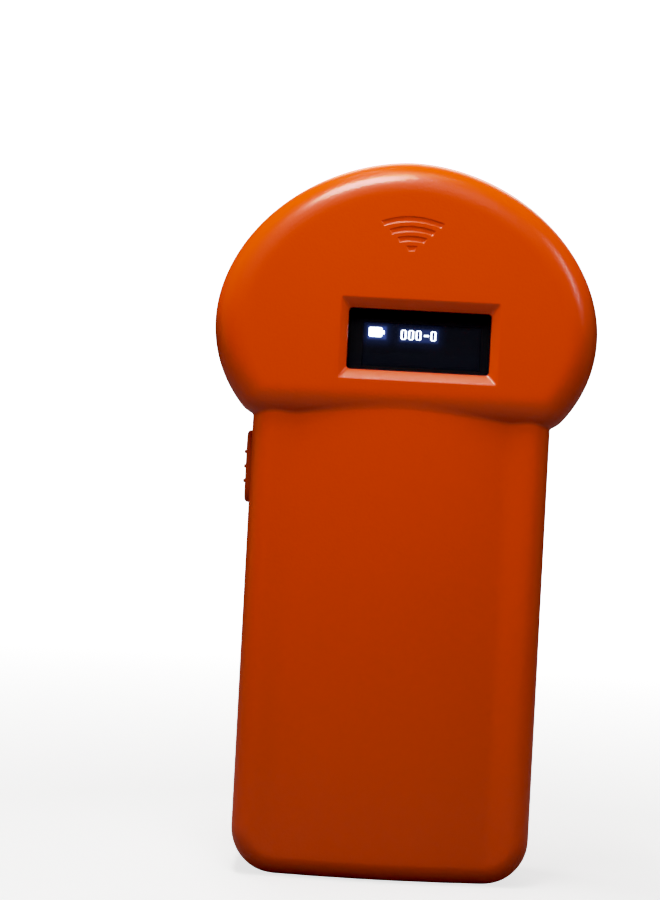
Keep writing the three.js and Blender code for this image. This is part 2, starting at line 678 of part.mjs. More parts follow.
// A fine wire runs from the coil's lower edge down to a pad on the board.
function coilLead(side) {
  const { radius, padZ, gap, straight, sag } = COIL_LEAD;
  const lowZ = COIL.z - COIL.halfHeight + COIL.band / 2;
  const x = side * COIL_LEAD.x;
  const padX = side * COIL_LEAD.padX;
  const startY = COIL.front - gap;
  const padY = PCB.back + gap;
  return wire([
    [x, startY, lowZ],
    [x, startY - straight, lowZ - sag],
    [padX, (startY + padY) / 2, (lowZ + padZ) / 2 - sag],
    [padX, padY + straight, padZ],
    [padX, padY, padZ],
  ], radius);
}

// ---- Fasteners and label ----

// A pan-head screw along Y, its head towards +Y, with a cross recess.
function panScrew([x, z], seatY, { head, headHeight, shank, length }) {
  const top = seatY + headHeight;
  const tip = seatY - length;
  const profile = [
    [0, tip],
    [shank, tip + shank],
    [shank, seatY],
    [head, seatY],
    [head, seatY + headHeight * PAN.shoulder],
    [head * PAN.crown, top],
    [0, top],
  ];
  const lathe = new THREE.LatheGeometry(profile.map(([r, y]) => new THREE.Vector2(r, y)), DETAIL.screwSides);
  const reach = head * CROSS.reach;
  const deep = top - headHeight * CROSS.depth;
  const across = block(-reach, reach, deep, top + PAST, -CROSS.halfWidth, CROSS.halfWidth);
  const upright = block(-CROSS.halfWidth, CROSS.halfWidth, deep, top + PAST, -reach, reach);
  return solid(lathe).subtract(across.add(upright)).translate([x, 0, z]);
}

function rearLabel() {
  const front = CASE.back - LABEL.recess + LABEL.glue;
  return plate(labelShape(LABEL.gap), front, front + LABEL.thickness);
}

// ---- Materials ----

function finish(color, roughness, metalness = 0) {
  return () => new THREE.MeshStandardMaterial({ color, roughness, metalness });
}

const orangeShell = finish(0xd2460c, 0.42);
const blackGlass = finish(0x07080c, 0.06);
const blackFoam = finish(0x16161a, 0.9);
const orangeButton = finish(0xb83a08, 0.5);
const whitePlastic = finish(0xe6e2d6, 0.5);
const boardGreen = finish(0x14512c, 0.4);
const chipBlack = finish(0x17171a, 0.45);
const bareSteel = finish(0xb9bcc0, 0.3, 0.9);
const amberFilm = finish(0xb36a1c, 0.35);
const copper = finish(0xb4622c, 0.35, 0.8);
const cellFoil = finish(0xa9acb2, 0.4, 0.5);
const redSleeve = finish(0xb51217, 0.45);
const blackSleeve = finish(0x141416, 0.45);
const labelSilver = finish(0xc9cbcd, 0.5);

// ---- Assembly ----

const group = new THREE.Group();

function addPart(name, shape, material) {
  const mesh = new THREE.Mesh(geometryOf(shape), material());
  mesh.name = name;
  group.add(mesh);
}

addPart('front_shell', frontShell(), orangeShell);
addPart('rear_shell', rearShell(), orangeShell);
addPart('rear_label', rearLabel(), labelSilver);

addPart('display_window', displayWindow(), blackGlass);
addPart('window_gasket', windowGasket(), blackFoam);
addPart('oled_panel', oledPanel(), blackGlass);
addPart('oled_carrier', oledCarrier(), whitePlastic);
addPart('oled_ribbon', oledRibbon(), amberFilm);

addPart('main_pcb', mainPcb(), boardGreen);
for (const [name, chip] of Object.entries(CHIPS)) {
  addPart(name, leggedChip(chip), chipBlack);
}
addPart('crystal', crystal(), bareSteel);
addPart('inductor', raisedBlock({ ...INDUCTOR, width: INDUCTOR.side, height: INDUCTOR.side }), chipBlack);
TUNING_CAPACITORS.z.forEach((z, index) => {
  addPart(`tuning_capacitor_${index + 1}`, raisedBlock({ ...TUNING_CAPACITORS, z }), amberFilm);
});
addPart('buzzer', buzzer(), chipBlack);
addPart('usb_socket', usbSocket(), bareSteel);

addPart('scan_button', scanButton(), orangeButton);
addPart('tact_switch_body', tactSwitchBody(), chipBlack);
addPart('tact_switch_plunger', tactSwitchPlunger(), whitePlastic);

addPart('battery_cell', batteryCell(), cellFoil);
addPart('battery_pad', batteryPad(), blackFoam);
addPart('battery_socket', batterySocket(), whitePlastic);
addPart('battery_plug', batteryPlug(), whitePlastic);
addPart('battery_lead_red', batteryLead(1), redSleeve);
addPart('battery_lead_black', batteryLead(-1), blackSleeve);

addPart('antenna_coil', antennaCoil(), copper);
addPart('coil_tray', coilTray(), whitePlastic);
addPart('coil_lead_start', coilLead(-1), copper);
addPart('coil_lead_end', coilLead(1), copper);

PCB_SCREW.places.forEach((place, index) => {
  addPart(`pcb_screw_${index + 1}`, panScrew(place, PCB.back + PCB.gap, PCB_SCREW), bareSteel);
});
REAR_SCREW.places.forEach((place, index) => {
  addPart(`rear_screw_${index + 1}`, panScrew(place, BOSS.seatY + PCB.gap, REAR_SCREW), bareSteel);
});

export default group;
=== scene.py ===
"""Looks for the handheld microchip scanner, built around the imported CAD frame.

Shapes are worked out in millimetres in the frame's axes: +Z up the handle, the display faces -Y.
The casing is one smooth distance field, meshed on a grid, split at the parting plane and then cut.
"""

import json
import math

import bmesh
import bpy
import numpy as np
from mathutils import Matrix, Vector


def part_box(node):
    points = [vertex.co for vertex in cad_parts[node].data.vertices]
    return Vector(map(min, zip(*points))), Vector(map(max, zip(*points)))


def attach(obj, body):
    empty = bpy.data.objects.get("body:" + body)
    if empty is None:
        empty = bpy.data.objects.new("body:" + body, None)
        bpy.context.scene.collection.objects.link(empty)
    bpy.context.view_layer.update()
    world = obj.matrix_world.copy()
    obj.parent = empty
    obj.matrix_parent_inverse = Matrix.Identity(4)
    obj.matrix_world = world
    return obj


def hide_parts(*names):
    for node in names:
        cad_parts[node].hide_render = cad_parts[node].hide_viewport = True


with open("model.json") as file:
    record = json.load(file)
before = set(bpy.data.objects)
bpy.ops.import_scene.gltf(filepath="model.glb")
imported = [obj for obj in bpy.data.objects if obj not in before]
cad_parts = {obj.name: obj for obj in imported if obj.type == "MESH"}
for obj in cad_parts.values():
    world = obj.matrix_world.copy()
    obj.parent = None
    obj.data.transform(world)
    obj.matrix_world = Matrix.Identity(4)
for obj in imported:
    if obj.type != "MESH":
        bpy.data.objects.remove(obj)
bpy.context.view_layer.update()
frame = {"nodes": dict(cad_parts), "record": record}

MM = 0.001
TAU = 2 * math.pi


# -------- sizes

def box_mm(node):
    """Lowest and highest corners of a CAD node, in millimetres."""
    low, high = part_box(node)
    return np.array(low) / MM, np.array(high) / MM


SHELL_LOW, SHELL_HIGH = box_mm("front_shell")
REAR_HIGH = box_mm("rear_shell")[1]
LENS_LOW, LENS_HIGH = box_mm("display_window")
PANEL_LOW = box_mm("oled_panel")[0]
BUTTON_LOW, BUTTON_HIGH = box_mm("scan_button")
LABEL_LOW, LABEL_HIGH = box_mm("rear_label")
BUZZER_LOW, BUZZER_HIGH = box_mm("buzzer")
PORT_LOW, PORT_HIGH = box_mm("usb_socket")
PLUNGER_LOW, PLUNGER_HIGH = box_mm("tact_switch_plunger")

FRONT_Y = SHELL_LOW[1]
BACK_Y = REAR_HIGH[1]
TOP_Z = SHELL_HIGH[2]
END_Z = SHELL_LOW[2]
WALL = 2.4

# Head: a superellipse whose upper and lower halves have their own reach and power.
HEAD_HALF_WIDTH = SHELL_HIGH[0]
HEAD_MIDDLE_Z = 119.6
HEAD_LOW_REACH = 32.3
HEAD_TOP_POWER = 1.9
HEAD_LOW_POWER = 2.08
HEAD_EDGE_Z = 98.8
HEAD_CORNER = 8.8
HEAD_CORNER_TURN = math.radians(46)
HEAD_ROUND = 7.6
HEAD_BACK_ROUND = 6.4
ROUND_POWER = 2.2

# Handle: a wide crown with a shallow valley on each side and a soft ridge by each edge.
HANDLE_HALF_WIDTH = 32.3
HANDLE_TOP_Z = 112
HANDLE_END_CORNER = 10
HANDLE_ROUND = 4.5
HANDLE_BACK_ROUND = 6
CROWN_DROP = 0.8
VALLEY_DROP = 2.7
RIDGE_DROP = 2.3
VALLEY_X = 22.8
RIDGE_X = 27.6
PROFILE_SOFTNESS = 0.7

# Fillet where the head meets the handle: full in front, fading away towards the flat back.
NECK_FILLET = 0.4
NECK_FADE = 4
NECK_FADE_END = 4.5
NECK_LEAST = 0.02

# Grid steps, coarse but for zones of (start, end, step) along X, Y and Z: fine by the handle's walls
# and the neck, and finest across the seam.
CASING_STEP = 0.85
CASING_ZONES = (
    ((-34.5, -30.5, 0.45), (30.5, 34.5, 0.45)),
    ((-1.0, -0.3, 0.17), (-0.3, 0.3, 0.15), (0.3, 1.0, 0.17)),
    ((97, 104.2, 0.3),),
)
HIDDEN_STEP = 1.6
HIDDEN_ZONES = ((), (), ())
GRID_MARGIN = 2

# Seam between the casing halves: a hairline gap between two rounded lips, closed by a tongue behind it.
SEAM_HALF_GAP = 0.06
LIP_WIDTH = 0.5
LIP_DEPTH = 0.28
TONGUE_INSET = 1.1
TONGUE_REACH = 0.6
TONGUE_GAP = 0.1

# Window funnel: the CAD window plus the slope on each side of it, sharper in its corners at the face.
LENS_FLANGE = 2.1
LENS_FLANGE_THICKNESS = 1
LENS_GAP = 0.15
LENS_EASE = 0.18
FUNNEL_SIDE = 1.75
FUNNEL_TOP = 2.2
FUNNEL_BOTTOM = 2.05
FUNNEL_DEPTH = 1.5
FUNNEL_EASE = 0.32
FUNNEL_EASE_DOWN = 0.16
FUNNEL_FOOT = 0.06
WINDOW_CORNER = 0.8
CORNER_LOSS = 0.55

# Display: its lit field, and the lit marks in rows of dots.
ACTIVE_MIDDLE = (3.4, 115.9)
ACTIVE_HALF = (12.0, 3.9)
DOT = 0.215
DOT_FILL = 0.96
DOT_HEIGHT = 0.04
DOT_GAP = 0.01
DIGIT_STEP = 7.5
DIGITS_PLACE = (-1.15, 119.2)
BATTERY_PLACE = (-8.1, 119.5)

# Engraved waves: four arcs between two lines that spread upwards from one point.
WAVE_TOP_Z = 142.9
WAVE_PITCH = 2.1
WAVE_HALF_HEIGHT = 0.42
WAVE_DEPTH = 0.24
WAVE_HALF_WIDTHS = (6.3, 4.55, 2.75, 0.75)
WAVE_RADII = (18, 14, 11, 8)
WAVE_SLANT = 0.75
WAVE_LIP = ((0.32, -1), (0.3, 0), (0.24, 0.015), (0.19, 0.05))
WAVE_RINGS = WAVE_LIP + ((0.04, WAVE_DEPTH - 0.03), (-0.04, WAVE_DEPTH))

# Back: screw bores and pillars, sound slots and the label's recess.
COUNTERBORE = 2.8
COUNTERBORE_FLOOR_Y = 9
SHANK_HOLE = 1.55
PILLAR = 4.1
PILLAR_FOOT_Y = 0.3
SLOT_HALF_LENGTH = 4
SLOT_HALF_WIDTH = 0.7
SLOT_PITCH = 3
LABEL_RECESS = 0.4
LABEL_GAP = 0.2
LABEL_CORNER = 2
LABEL_EDGE = 0.1

# Screws: radii, and heights measured from the tip and from the seat under the head.
SCREW_NODES = [f"rear_screw_{number}" for number in range(1, 5)]
SCREW_POINT = 0.15
SCREW_TAPER = 1.6
SCREW_CORE = 0.95
SCREW_CREST = 1.25
SCREW_TURNS = 16
SCREW_PLAIN = 2.4
SCREW_NECK = 1.2
SCREW_HEAD = 2.5
SCREW_RIM = 0.7
SCREW_DOME = 1.0
SCREW_DOME_POWER = 0.8
SCREW_SPREAD = 0.001
SCREW_SIDES = 36
CROSS_LONG = 1.35
CROSS_SHORT = 0.3
CROSS_DEPTH = 1.1
CROSS_TAPER = 0.45

# Scan button: a domed cap with raised bars, a flange and a stem.
BUTTON_Z = (BUTTON_LOW[2] + BUTTON_HIGH[2]) / 2
BUTTON_HALF_LENGTH = 8
BUTTON_HALF_WIDTH = 3.5
BUTTON_CLEARANCE = 0.18
CAP_GAP = 0.02
CAP_DOME_WIDTH = 0.9
CAP_DOME_HEIGHT = 0.75
BAR_PITCH = 3.2
BAR_HALF_LENGTH = 1.9
BAR_HALF_WIDTH = 0.42
BAR_RINGS = ((-0.28, -0.42), (-0.1, -0.34), (0, -0.12), (0, 0.6))
STEM_LENGTH = 2.1
FLANGE_THICKNESS = 1.2

# Charging port: the opening in the end wall, and the folded shell inside it.
PORT_HALF = (4.9, 2.3)
PORT_CORNER = 1.1
PORT_CHAMFER = 0.9
PORT_SHOULDER = 0.45
PORT_STEEL = 0.3
PORT_BEVEL = 0.08
PORT_TONGUE_PLACE = 0.42
PORT_TONGUE_MARGIN = 1.0
PORT_TONGUE_HALF = 0.3

# Eased edges of holes, and how far a cutter passes the surfaces that it cuts.
HOLE_EASE = 0.3
PORT_EASE = 0.35
LABEL_EASE = 0.15
EASE_OVERLAP = 0.02
PASS = 1


# -------- casing field

def wedge_max(a, b, turn=math.pi / 2, power=2.0):
    """Distance to the overlap of two half spaces whose outward normals turn by an angle between them."""
    cosine = math.cos(turn)
    flat = np.maximum(a, b)
    if abs(cosine) < 1e-6:
        outside_a = np.maximum(a, 0)
        outside_b = np.maximum(b, 0)
        corner = (outside_a ** power + outside_b ** power) ** (1 / power)
        return np.where((a > 0) & (b > 0), corner, flat)
    square = (a * a + b * b - 2 * a * b * cosine) / (1 - cosine * cosine)
    corner = np.sqrt(np.maximum(square, 0))
    return np.where((a > cosine * b) & (b > cosine * a) & (flat > 0), corner, flat)


def rounded_overlap(a, b, radius, turn=math.pi / 2, power=2.0):
    """The overlap of two fields with the edge between them rounded."""
    return wedge_max(a + radius, b + radius, turn, power) - radius


def rounded_union(a, b, radius):
    """The join of two fields with a fillet between them."""
    inside_a = np.maximum(radius - a, 0)
    inside_b = np.maximum(radius - b, 0)
    return np.maximum(radius, np.minimum(a, b)) - np.hypot(inside_a, inside_b)


def head_plan(x, z):
    """Distance to the head's outline, seen from the front."""
    up = z - HEAD_MIDDLE_Z
    reach = np.where(up > 0, TOP_Z - HEAD_MIDDLE_Z, HEAD_LOW_REACH)
    power = np.where(up > 0, HEAD_TOP_POWER, HEAD_LOW_POWER)
    across = np.abs(x) / HEAD_HALF_WIDTH
    share = (across ** power + (np.abs(up) / reach) ** power) ** (1 / power)
    oval = np.hypot(x, up) * (1 - 1 / np.maximum(share, 1e-3))
    return rounded_overlap(oval, HEAD_EDGE_Z - z, HEAD_CORNER, HEAD_CORNER_TURN)


def handle_plan(x, z):
    """Distance to the handle's outline, seen from the front."""
    ends = np.maximum(-z, z - HANDLE_TOP_Z)
    return rounded_overlap(np.abs(x) - HANDLE_HALF_WIDTH, ends, HANDLE_END_CORNER)


def grip_profile():
    """The handle's front surface as Y against X: crown, valley and ridge, softened where they meet."""
    step = 0.05
    margin = 4
    x = np.arange(0, HANDLE_HALF_WIDTH + margin, step)
    rise = VALLEY_DROP - CROWN_DROP
    radius = (VALLEY_X ** 2 + rise ** 2) / (2 * rise)
    crown = CROWN_DROP + radius - np.sqrt(radius ** 2 - np.minimum(x, VALLEY_X) ** 2)
    share = np.clip((x - VALLEY_X) / (RIDGE_X - VALLEY_X), 0, 1)
    drop = crown - (VALLEY_DROP - RIDGE_DROP) * share * share * (3 - 2 * share)
    full_x = np.concatenate([-x[:0:-1], x])
    full_drop = np.concatenate([drop[:0:-1], drop])
    reach = np.arange(-3 * PROFILE_SOFTNESS, 3 * PROFILE_SOFTNESS + step, step)
    kernel = np.exp(-0.5 * (reach / PROFILE_SOFTNESS) ** 2)
    padded = np.pad(full_drop, len(kernel) // 2, mode="edge")
    soft = np.convolve(padded, kernel / kernel.sum(), mode="valid")[:len(full_x)]
    return full_x, FRONT_Y + soft


GRIP_X, GRIP_Y = grip_profile()


def casing_field(points):
    """Signed distance to the casing's outer surface, in millimetres, positive outside."""
    x, y, z = points[:, 0], points[:, 1], points[:, 2]
    head = head_plan(x, z)
    head_front = rounded_overlap(head, FRONT_Y - y, HEAD_ROUND, power=ROUND_POWER)
    head_back = rounded_overlap(head, y - BACK_Y, HEAD_BACK_ROUND, power=ROUND_POWER)
    handle = handle_plan(x, z)
    handle_front = rounded_overlap(handle, np.interp(x, GRIP_X, GRIP_Y) - y, HANDLE_ROUND)
    handle_back = rounded_overlap(handle, y - BACK_Y, HANDLE_BACK_ROUND)
    fillet = NECK_FILLET * np.clip((BACK_Y - NECK_FADE_END - y) / NECK_FADE, NECK_LEAST, 1)
    return rounded_union(np.maximum(head_front, head_back), np.maximum(handle_front, handle_back), fillet)


def lipped_field(points):
    """The casing's outer surface with its edges rounded in towards the seam."""
    near = np.clip(1 - (np.abs(points[:, 1]) - SEAM_HALF_GAP) / LIP_WIDTH, 0, 1)
    return casing_field(points) + LIP_DEPTH * near * near


def sunk_field(inset):
    """The field of a surface that lies an inset under the casing's."""
    return lambda points: casing_field(points) + inset


def gradient(field, points, step=0.02):
    """The field's unit gradient, by central differences."""
    slopes = np.empty_like(points)
    for axis in range(3):
        offset = np.zeros(3)
        offset[axis] = step
        slopes[:, axis] = field(points + offset) - field(points - offset)
    return slopes / np.linalg.norm(slopes, axis=1, keepdims=True)


# -------- meshing the field

def levels(low, high, coarse, zones):
    """Grid levels from low to high: coarse steps, with finer steps inside each zone."""
    marks = [low]
    while marks[-1] < high:
        here = marks[-1]
        step = min([coarse] + [fine for start, end, fine in zones if start <= here < end])
        marks.append(here + step)
    return np.array(marks)


def surface_net(field, lines):
    """Quads along the field's zero surface: one vertex in each grid cell that the surface crosses."""
    grid = np.stack(np.meshgrid(*lines, indexing="ij"), axis=-1)
    values = field(grid.reshape(-1, 3)).reshape(grid.shape[:3])
    inside = values < 0
    shape = tuple(size - 1 for size in values.shape)
    corners = [(i, j, k) for i in (0, 1) for j in (0, 1) for k in (0, 1)]
    count = np.zeros(shape, int)
    for corner in corners:
        count += inside[tuple(slice(c, c + n) for c, n in zip(corner, shape))]
    cells = np.argwhere((count > 0) & (count < len(corners)))
    total = np.zeros((len(cells), 3))
    hits = np.zeros(len(cells))
    for corner in corners:
        for axis in range(3):
            if corner[axis]:
                continue
            start = cells + corner
            end = start.copy()
            end[:, axis] += 1
            a, b = values[tuple(start.T)], values[tuple(end.T)]
            crosses = (a < 0) != (b < 0)
            share = np.where(crosses, a / np.where(crosses, a - b, 1), 0)[:, None]
            place_a, place_b = grid[tuple(start.T)], grid[tuple(end.T)]
            total += np.where(crosses[:, None], place_a + (place_b - place_a) * share, 0)
            hits += crosses
    vertices = total / hits[:, None]
    for _ in range(4):
        vertices -= field(vertices)[:, None] * gradient(field, vertices)
    number = np.full(shape, -1)
    number[tuple(cells.T)] = np.arange(len(cells))
    return vertices, net_faces(inside, number)


def net_faces(inside, number):
    """One quad around each grid edge that the surface crosses, facing outwards."""
    faces = []
    for axis in range(3):
        first, second = (axis + 1) % 3, (axis + 2) % 3
        crossing = inside != np.roll(inside, -1, axis=axis)
        edge = [slice(1, -1)] * 3
        edge[axis] = slice(0, -1)
        found = np.argwhere(crossing[tuple(edge)])
        for other in (first, second):
            found[:, other] += 1
        around = []
        for a, b in ((0, 0), (-1, 0), (-1, -1), (0, -1)):
            cell = found.copy()
            cell[:, first] += a
            cell[:, second] += b
            around.append(number[tuple(cell.T)])
        quads = np.column_stack(around)
        leaving = inside[tuple(found.T)]
        faces.append(np.where(leaving[:, None], quads, quads[:, ::-1]))
    return np.concatenate(faces)


def place_object(name, data):
    """An object for a mesh, a lamp or a camera, linked to the scene."""
    made = bpy.data.objects.new(name, data)
    bpy.context.scene.collection.objects.link(made)
    return made


def field_object(name, field, coarse, zones):
    """The field's zero surface as an object, on a grid that covers the casing."""
    spans = zip((-HEAD_HALF_WIDTH, FRONT_Y, END_Z), (HEAD_HALF_WIDTH, BACK_Y, TOP_Z), zones)
    lines = [levels(low - GRID_MARGIN, high + GRID_MARGIN, coarse, fine) for low, high, fine in spans]
    vertices, faces = surface_net(field, lines)
    mesh = bpy.data.meshes.new(name)
    mesh.from_pydata((vertices * MM).tolist(), [], faces.tolist())
    mesh.update()
    return place_object(name, mesh)


# -------- solids for cutting and adding

def finish_solid(name, working):
    """An object from a working mesh, with its faces turned outwards."""
    bmesh.ops.recalc_face_normals(working, faces=working.faces)
    mesh = bpy.data.meshes.new(name)
    working.to_mesh(mesh)
    working.free()
    return place_object(name, mesh)


def loft(name, rings):
    """A closed solid through rings of equal length, with a cap on each end."""
    working = bmesh.new()
    rows = [[working.verts.new(Vector(point) * MM) for point in ring] for ring in rings]
    for low, high in zip(rows, rows[1:]):
        for n in range(len(low)):
            after = (n + 1) % len(low)
            working.faces.new((low[n], low[after], high[after], high[n]))
    caps = [working.faces.new(rows[0][::-1]), working.faces.new(rows[-1])]
    bmesh.ops.triangulate(working, faces=caps)
    return finish_solid(name, working)


def prism(name, outline, place, start, end):
    """An outline drawn out between two levels."""
    return loft(name, [place(outline, start), place(outline, end)])


def rectangle_outline(x0, x1, z0, z1, corner, steps=6):
    """A rounded rectangle as points on a plane."""
    left, right, low, high = x0 + corner, x1 - corner, z0 + corner, z1 - corner
    points = []
    for quarter, (middle_x, middle_z) in enumerate(((right, high), (left, high), (left, low), (right, low))):
        for n in range(steps + 1):
            angle = (quarter + n / steps) * math.pi / 2
            points.append((middle_x + corner * math.cos(angle), middle_z + corner * math.sin(angle)))
    return points


def centred_outline(x, z, half_x, half_z, corner, steps=6):
    """A rounded rectangle round a middle point."""
    return rectangle_outline(x - half_x, x + half_x, z - half_z, z + half_z, corner, steps)


def slot_outline(x, z, half_x, half_z):
    """A slot whose short ends are all but half circles."""
    return centred_outline(x, z, half_x, half_z, 0.999 * min(half_x, half_z), steps=12)


def circle_outline(x, z, radius, steps=48):
    """A circle as points on a plane."""
    angles = [TAU * n / steps for n in range(steps)]
    return [(x + radius * math.cos(angle), z + radius * math.sin(angle)) for angle in angles]


def facing(axis):
    """Puts an outline, drawn on the other two axes, at a level along this one."""
    return lambda outline, level: [point[:axis] + (level,) + point[axis:] for point in outline]


facing_x, facing_y, facing_z = facing(0), facing(1), facing(2)


def quarter_round(radius, steps=4):
    """Points round an eased edge, each as the distance from the wall and the depth under the face."""
    turns = [n / steps * math.pi / 2 for n in range(steps + 1)]
    return [(radius * (1 - math.sin(turn)), radius * (1 - math.cos(turn))) for turn in turns]


def combine(made, others, operation):
    """Joins or cuts an object with others, one by one, and deletes them."""
    for other in others:
        modifier = made.modifiers.new("combine", "BOOLEAN")
        modifier.solver = "MANIFOLD"
        modifier.operation = operation
        modifier.object = other
        graph = bpy.context.evaluated_depsgraph_get()
        mesh = bpy.data.meshes.new_from_object(made.evaluated_get(graph))
        made.modifiers.clear()
        old = made.data
        made.data = mesh
        bpy.data.meshes.remove(old)
        bpy.data.objects.remove(other)
    return made


def slab(name, y0, y1):
    """A block wider than the casing between two Y planes."""
    reach = 2 * TOP_Z
    return prism(name, centred_outline(0, 0, reach, reach, corner=1), facing_y, y0, y1)


# -------- casing cutters

def eased_hole(name, outline_at, place, face, floor, ease):
    """A cutter from outside a flat face to a floor under it, with the hole's edge eased.

    outline_at gives the hole's outline, grown by an amount, and place puts an outline at a level.
    """
    inward = math.copysign(1, floor - face)
    rings = [place(outline_at(ease + EASE_OVERLAP), face - inward * PASS)]
    for extra, depth in quarter_round(ease):
        rings.append(place(outline_at(extra), face + inward * depth))
    rings.append(place(outline_at(0), floor))
    return loft(name, rings)


def window_outline(side, low, high, corner):
    """The window's opening, grown at its sides, its lower and its upper edge."""
    return rectangle_outline(
        LENS_LOW[0] + LENS_FLANGE - side, LENS_HIGH[0] - LENS_FLANGE + side,
        LENS_LOW[2] + LENS_FLANGE - low, LENS_HIGH[2] - LENS_FLANGE + high, corner)


def funnel_ring(share, extra, depth):
    """The funnel's outline at a share of the way from the lens to the face, grown by an amount."""
    corner = WINDOW_CORNER * (1 - CORNER_LOSS * share) + extra
    sides = (share * reach + extra for reach in (FUNNEL_SIDE, FUNNEL_BOTTOM, FUNNEL_TOP))
    return facing_y(window_outline(*sides, corner), FRONT_Y + depth)


def window_cutter():
    """The funnel from the face down to the lens, with its outer edge eased, and the opening under it."""
    rings = [funnel_ring(1, FUNNEL_EASE + EASE_OVERLAP, -PASS)]
    steps = 5
    for n in range(steps + 1):
        share = n / steps
        down = FUNNEL_EASE_DOWN * share ** 2
        rings.append(funnel_ring(1 - down, FUNNEL_EASE * (1 - share) ** 2, down * FUNNEL_DEPTH))
    rings.append(funnel_ring(FUNNEL_FOOT, 0, FUNNEL_DEPTH * (1 - FUNNEL_FOOT)))
    rings.append(funnel_ring(0, 0, FUNNEL_DEPTH + FUNNEL_FOOT))
    rings.append(funnel_ring(0, 0, LENS_HIGH[1] - FRONT_Y))
    return loft("window_cutter", rings)


def wave_outline(apex_z, radius, half_width, extra):
    """One engraved arc: an upper and a lower edge that end on slanted sides."""
    steps = 14
    lean = WAVE_HALF_HEIGHT * WAVE_SLANT
    high = radius + WAVE_HALF_HEIGHT + extra
    low = radius - WAVE_HALF_HEIGHT - extra
    high_turn = math.asin((half_width + lean + extra) / high)
    low_turn = math.asin((half_width - lean + extra) / low)
    points = []
    for reach, start in ((high, high_turn), (low, -low_turn)):
        for n in range(steps + 1):
            angle = start * (1 - 2 * n / steps)
            points.append((reach * math.sin(angle), apex_z - radius + reach * math.cos(angle)))
    return points


def wave_cutters():
    """Grooves with eased lips and sloping walls."""
    cutters = []
    for index, (half_width, radius) in enumerate(zip(WAVE_HALF_WIDTHS, WAVE_RADII)):
        apex_z = WAVE_TOP_Z - index * WAVE_PITCH
        rings = []
        for extra, depth in WAVE_RINGS:
            rings.append(facing_y(wave_outline(apex_z, radius, half_width, extra), FRONT_Y + depth))
        cutters.append(loft(f"wave_cutter_{index}", rings))
    return cutters


def hole_in_back(name, outline_at, floor_y, ease=HOLE_EASE):
    """An eased hole from the flat back."""
    return eased_hole(name, outline_at, facing_y, BACK_Y, floor_y, ease)


def bore_cutters(x, z):
    """A screw's counterbore, and the hole for its shank."""
    shank = circle_outline(x, z, SHANK_HOLE)
    return [
        hole_in_back("bore", lambda extra: circle_outline(x, z, COUNTERBORE + extra), COUNTERBORE_FLOOR_Y),
        prism("shank_hole", shank, facing_y, COUNTERBORE_FLOOR_Y + PASS, -PASS)]


def sound_slot_cutter(number):
    """One of the slots over the buzzer, counted from the middle one."""
    x, _, z = (BUZZER_LOW + BUZZER_HIGH) / 2 + (0, 0, number * SLOT_PITCH)
    return hole_in_back(
        "sound_slot", lambda extra: slot_outline(x, z, SLOT_HALF_LENGTH + extra, SLOT_HALF_WIDTH + extra),
        BACK_Y - 2 * WALL)


def label_outline(extra):
    """The blank label's outline, grown by an amount."""
    return rectangle_outline(
        LABEL_LOW[0] - extra, LABEL_HIGH[0] + extra,
        LABEL_LOW[2] - extra, LABEL_HIGH[2] + extra, LABEL_CORNER + extra)


def label_cutter():
    """The label's shallow recess."""
    return hole_in_back(
        "label_recess", lambda extra: label_outline(LABEL_GAP + extra), BACK_Y - LABEL_RECESS, LABEL_EASE)


def button_outline(extra):
    """The button's round-ended outline, in Y and Z, grown by an amount."""
    return slot_outline(0, BUTTON_Z, BUTTON_HALF_WIDTH + extra, BUTTON_HALF_LENGTH + extra)


def button_cutter():
    """The slot through the left wall that the button slides in."""
    wall_x = -HANDLE_HALF_WIDTH
    return eased_hole(
        "button_cutter", lambda extra: button_outline(BUTTON_CLEARANCE + extra),
        facing_x, wall_x, wall_x + WALL + PASS, HOLE_EASE)


def port_opening(extra):
    """The port's opening in X and Y, grown by an amount."""
    x, y, _ = (PORT_LOW + PORT_HIGH) / 2
    return centred_outline(x, y, PORT_HALF[0] + extra, PORT_HALF[1] + extra, PORT_CORNER + extra)


def port_cutter():
    """The port opening through the end wall."""
    return eased_hole("port_cutter", port_opening, facing_z, END_Z, END_Z + WALL + PASS, PORT_EASE)


# -------- shading of cut meshes

def read(items, attribute, kind, *row):
    """One attribute of every item, as an array."""
    values = np.empty((len(items), *row), kind)
    items.foreach_get(attribute, values.ravel())
    return values


def shade_by_angle(made):
    """Smooth shading with sharp edges where faces turn by more than 35 degrees."""
    made.data.shade_smooth()
    made.data.set_sharp_from_angle(angle=math.radians(35))


def shade_by_field(made):
    """Faces on the casing's outer surface take their normals from the field itself."""
    point_reach, face_reach, least_cosine = 0.01, 0.03, 0.85
    mesh = made.data
    normals = read(mesh.corner_normals, "vector", np.float32, 3)
    points = read(mesh.vertices, "co", np.float32, 3).astype(float) / MM
    face_middles = read(mesh.polygons, "center", np.float32, 3).astype(float) / MM
    face_normals = read(mesh.polygons, "normal", np.float32, 3)
    corner_vertex = read(mesh.loops, "vertex_index", np.int32)
    corner_face = np.repeat(np.arange(len(mesh.polygons)), read(mesh.polygons, "loop_total", np.int32))

    slopes = gradient(lipped_field, points)
    on_surface = np.abs(lipped_field(points)) < point_reach
    face_on_surface = np.abs(lipped_field(face_middles)) < face_reach
    cosines = np.einsum("ij,ij->i", slopes[corner_vertex], face_normals[corner_face])
    take = on_surface[corner_vertex] & face_on_surface[corner_face] & (cosines > least_cosine)
    normals[take] = slopes[corner_vertex[take]]
    mesh.normals_split_custom_set(normals)


# -------- materials

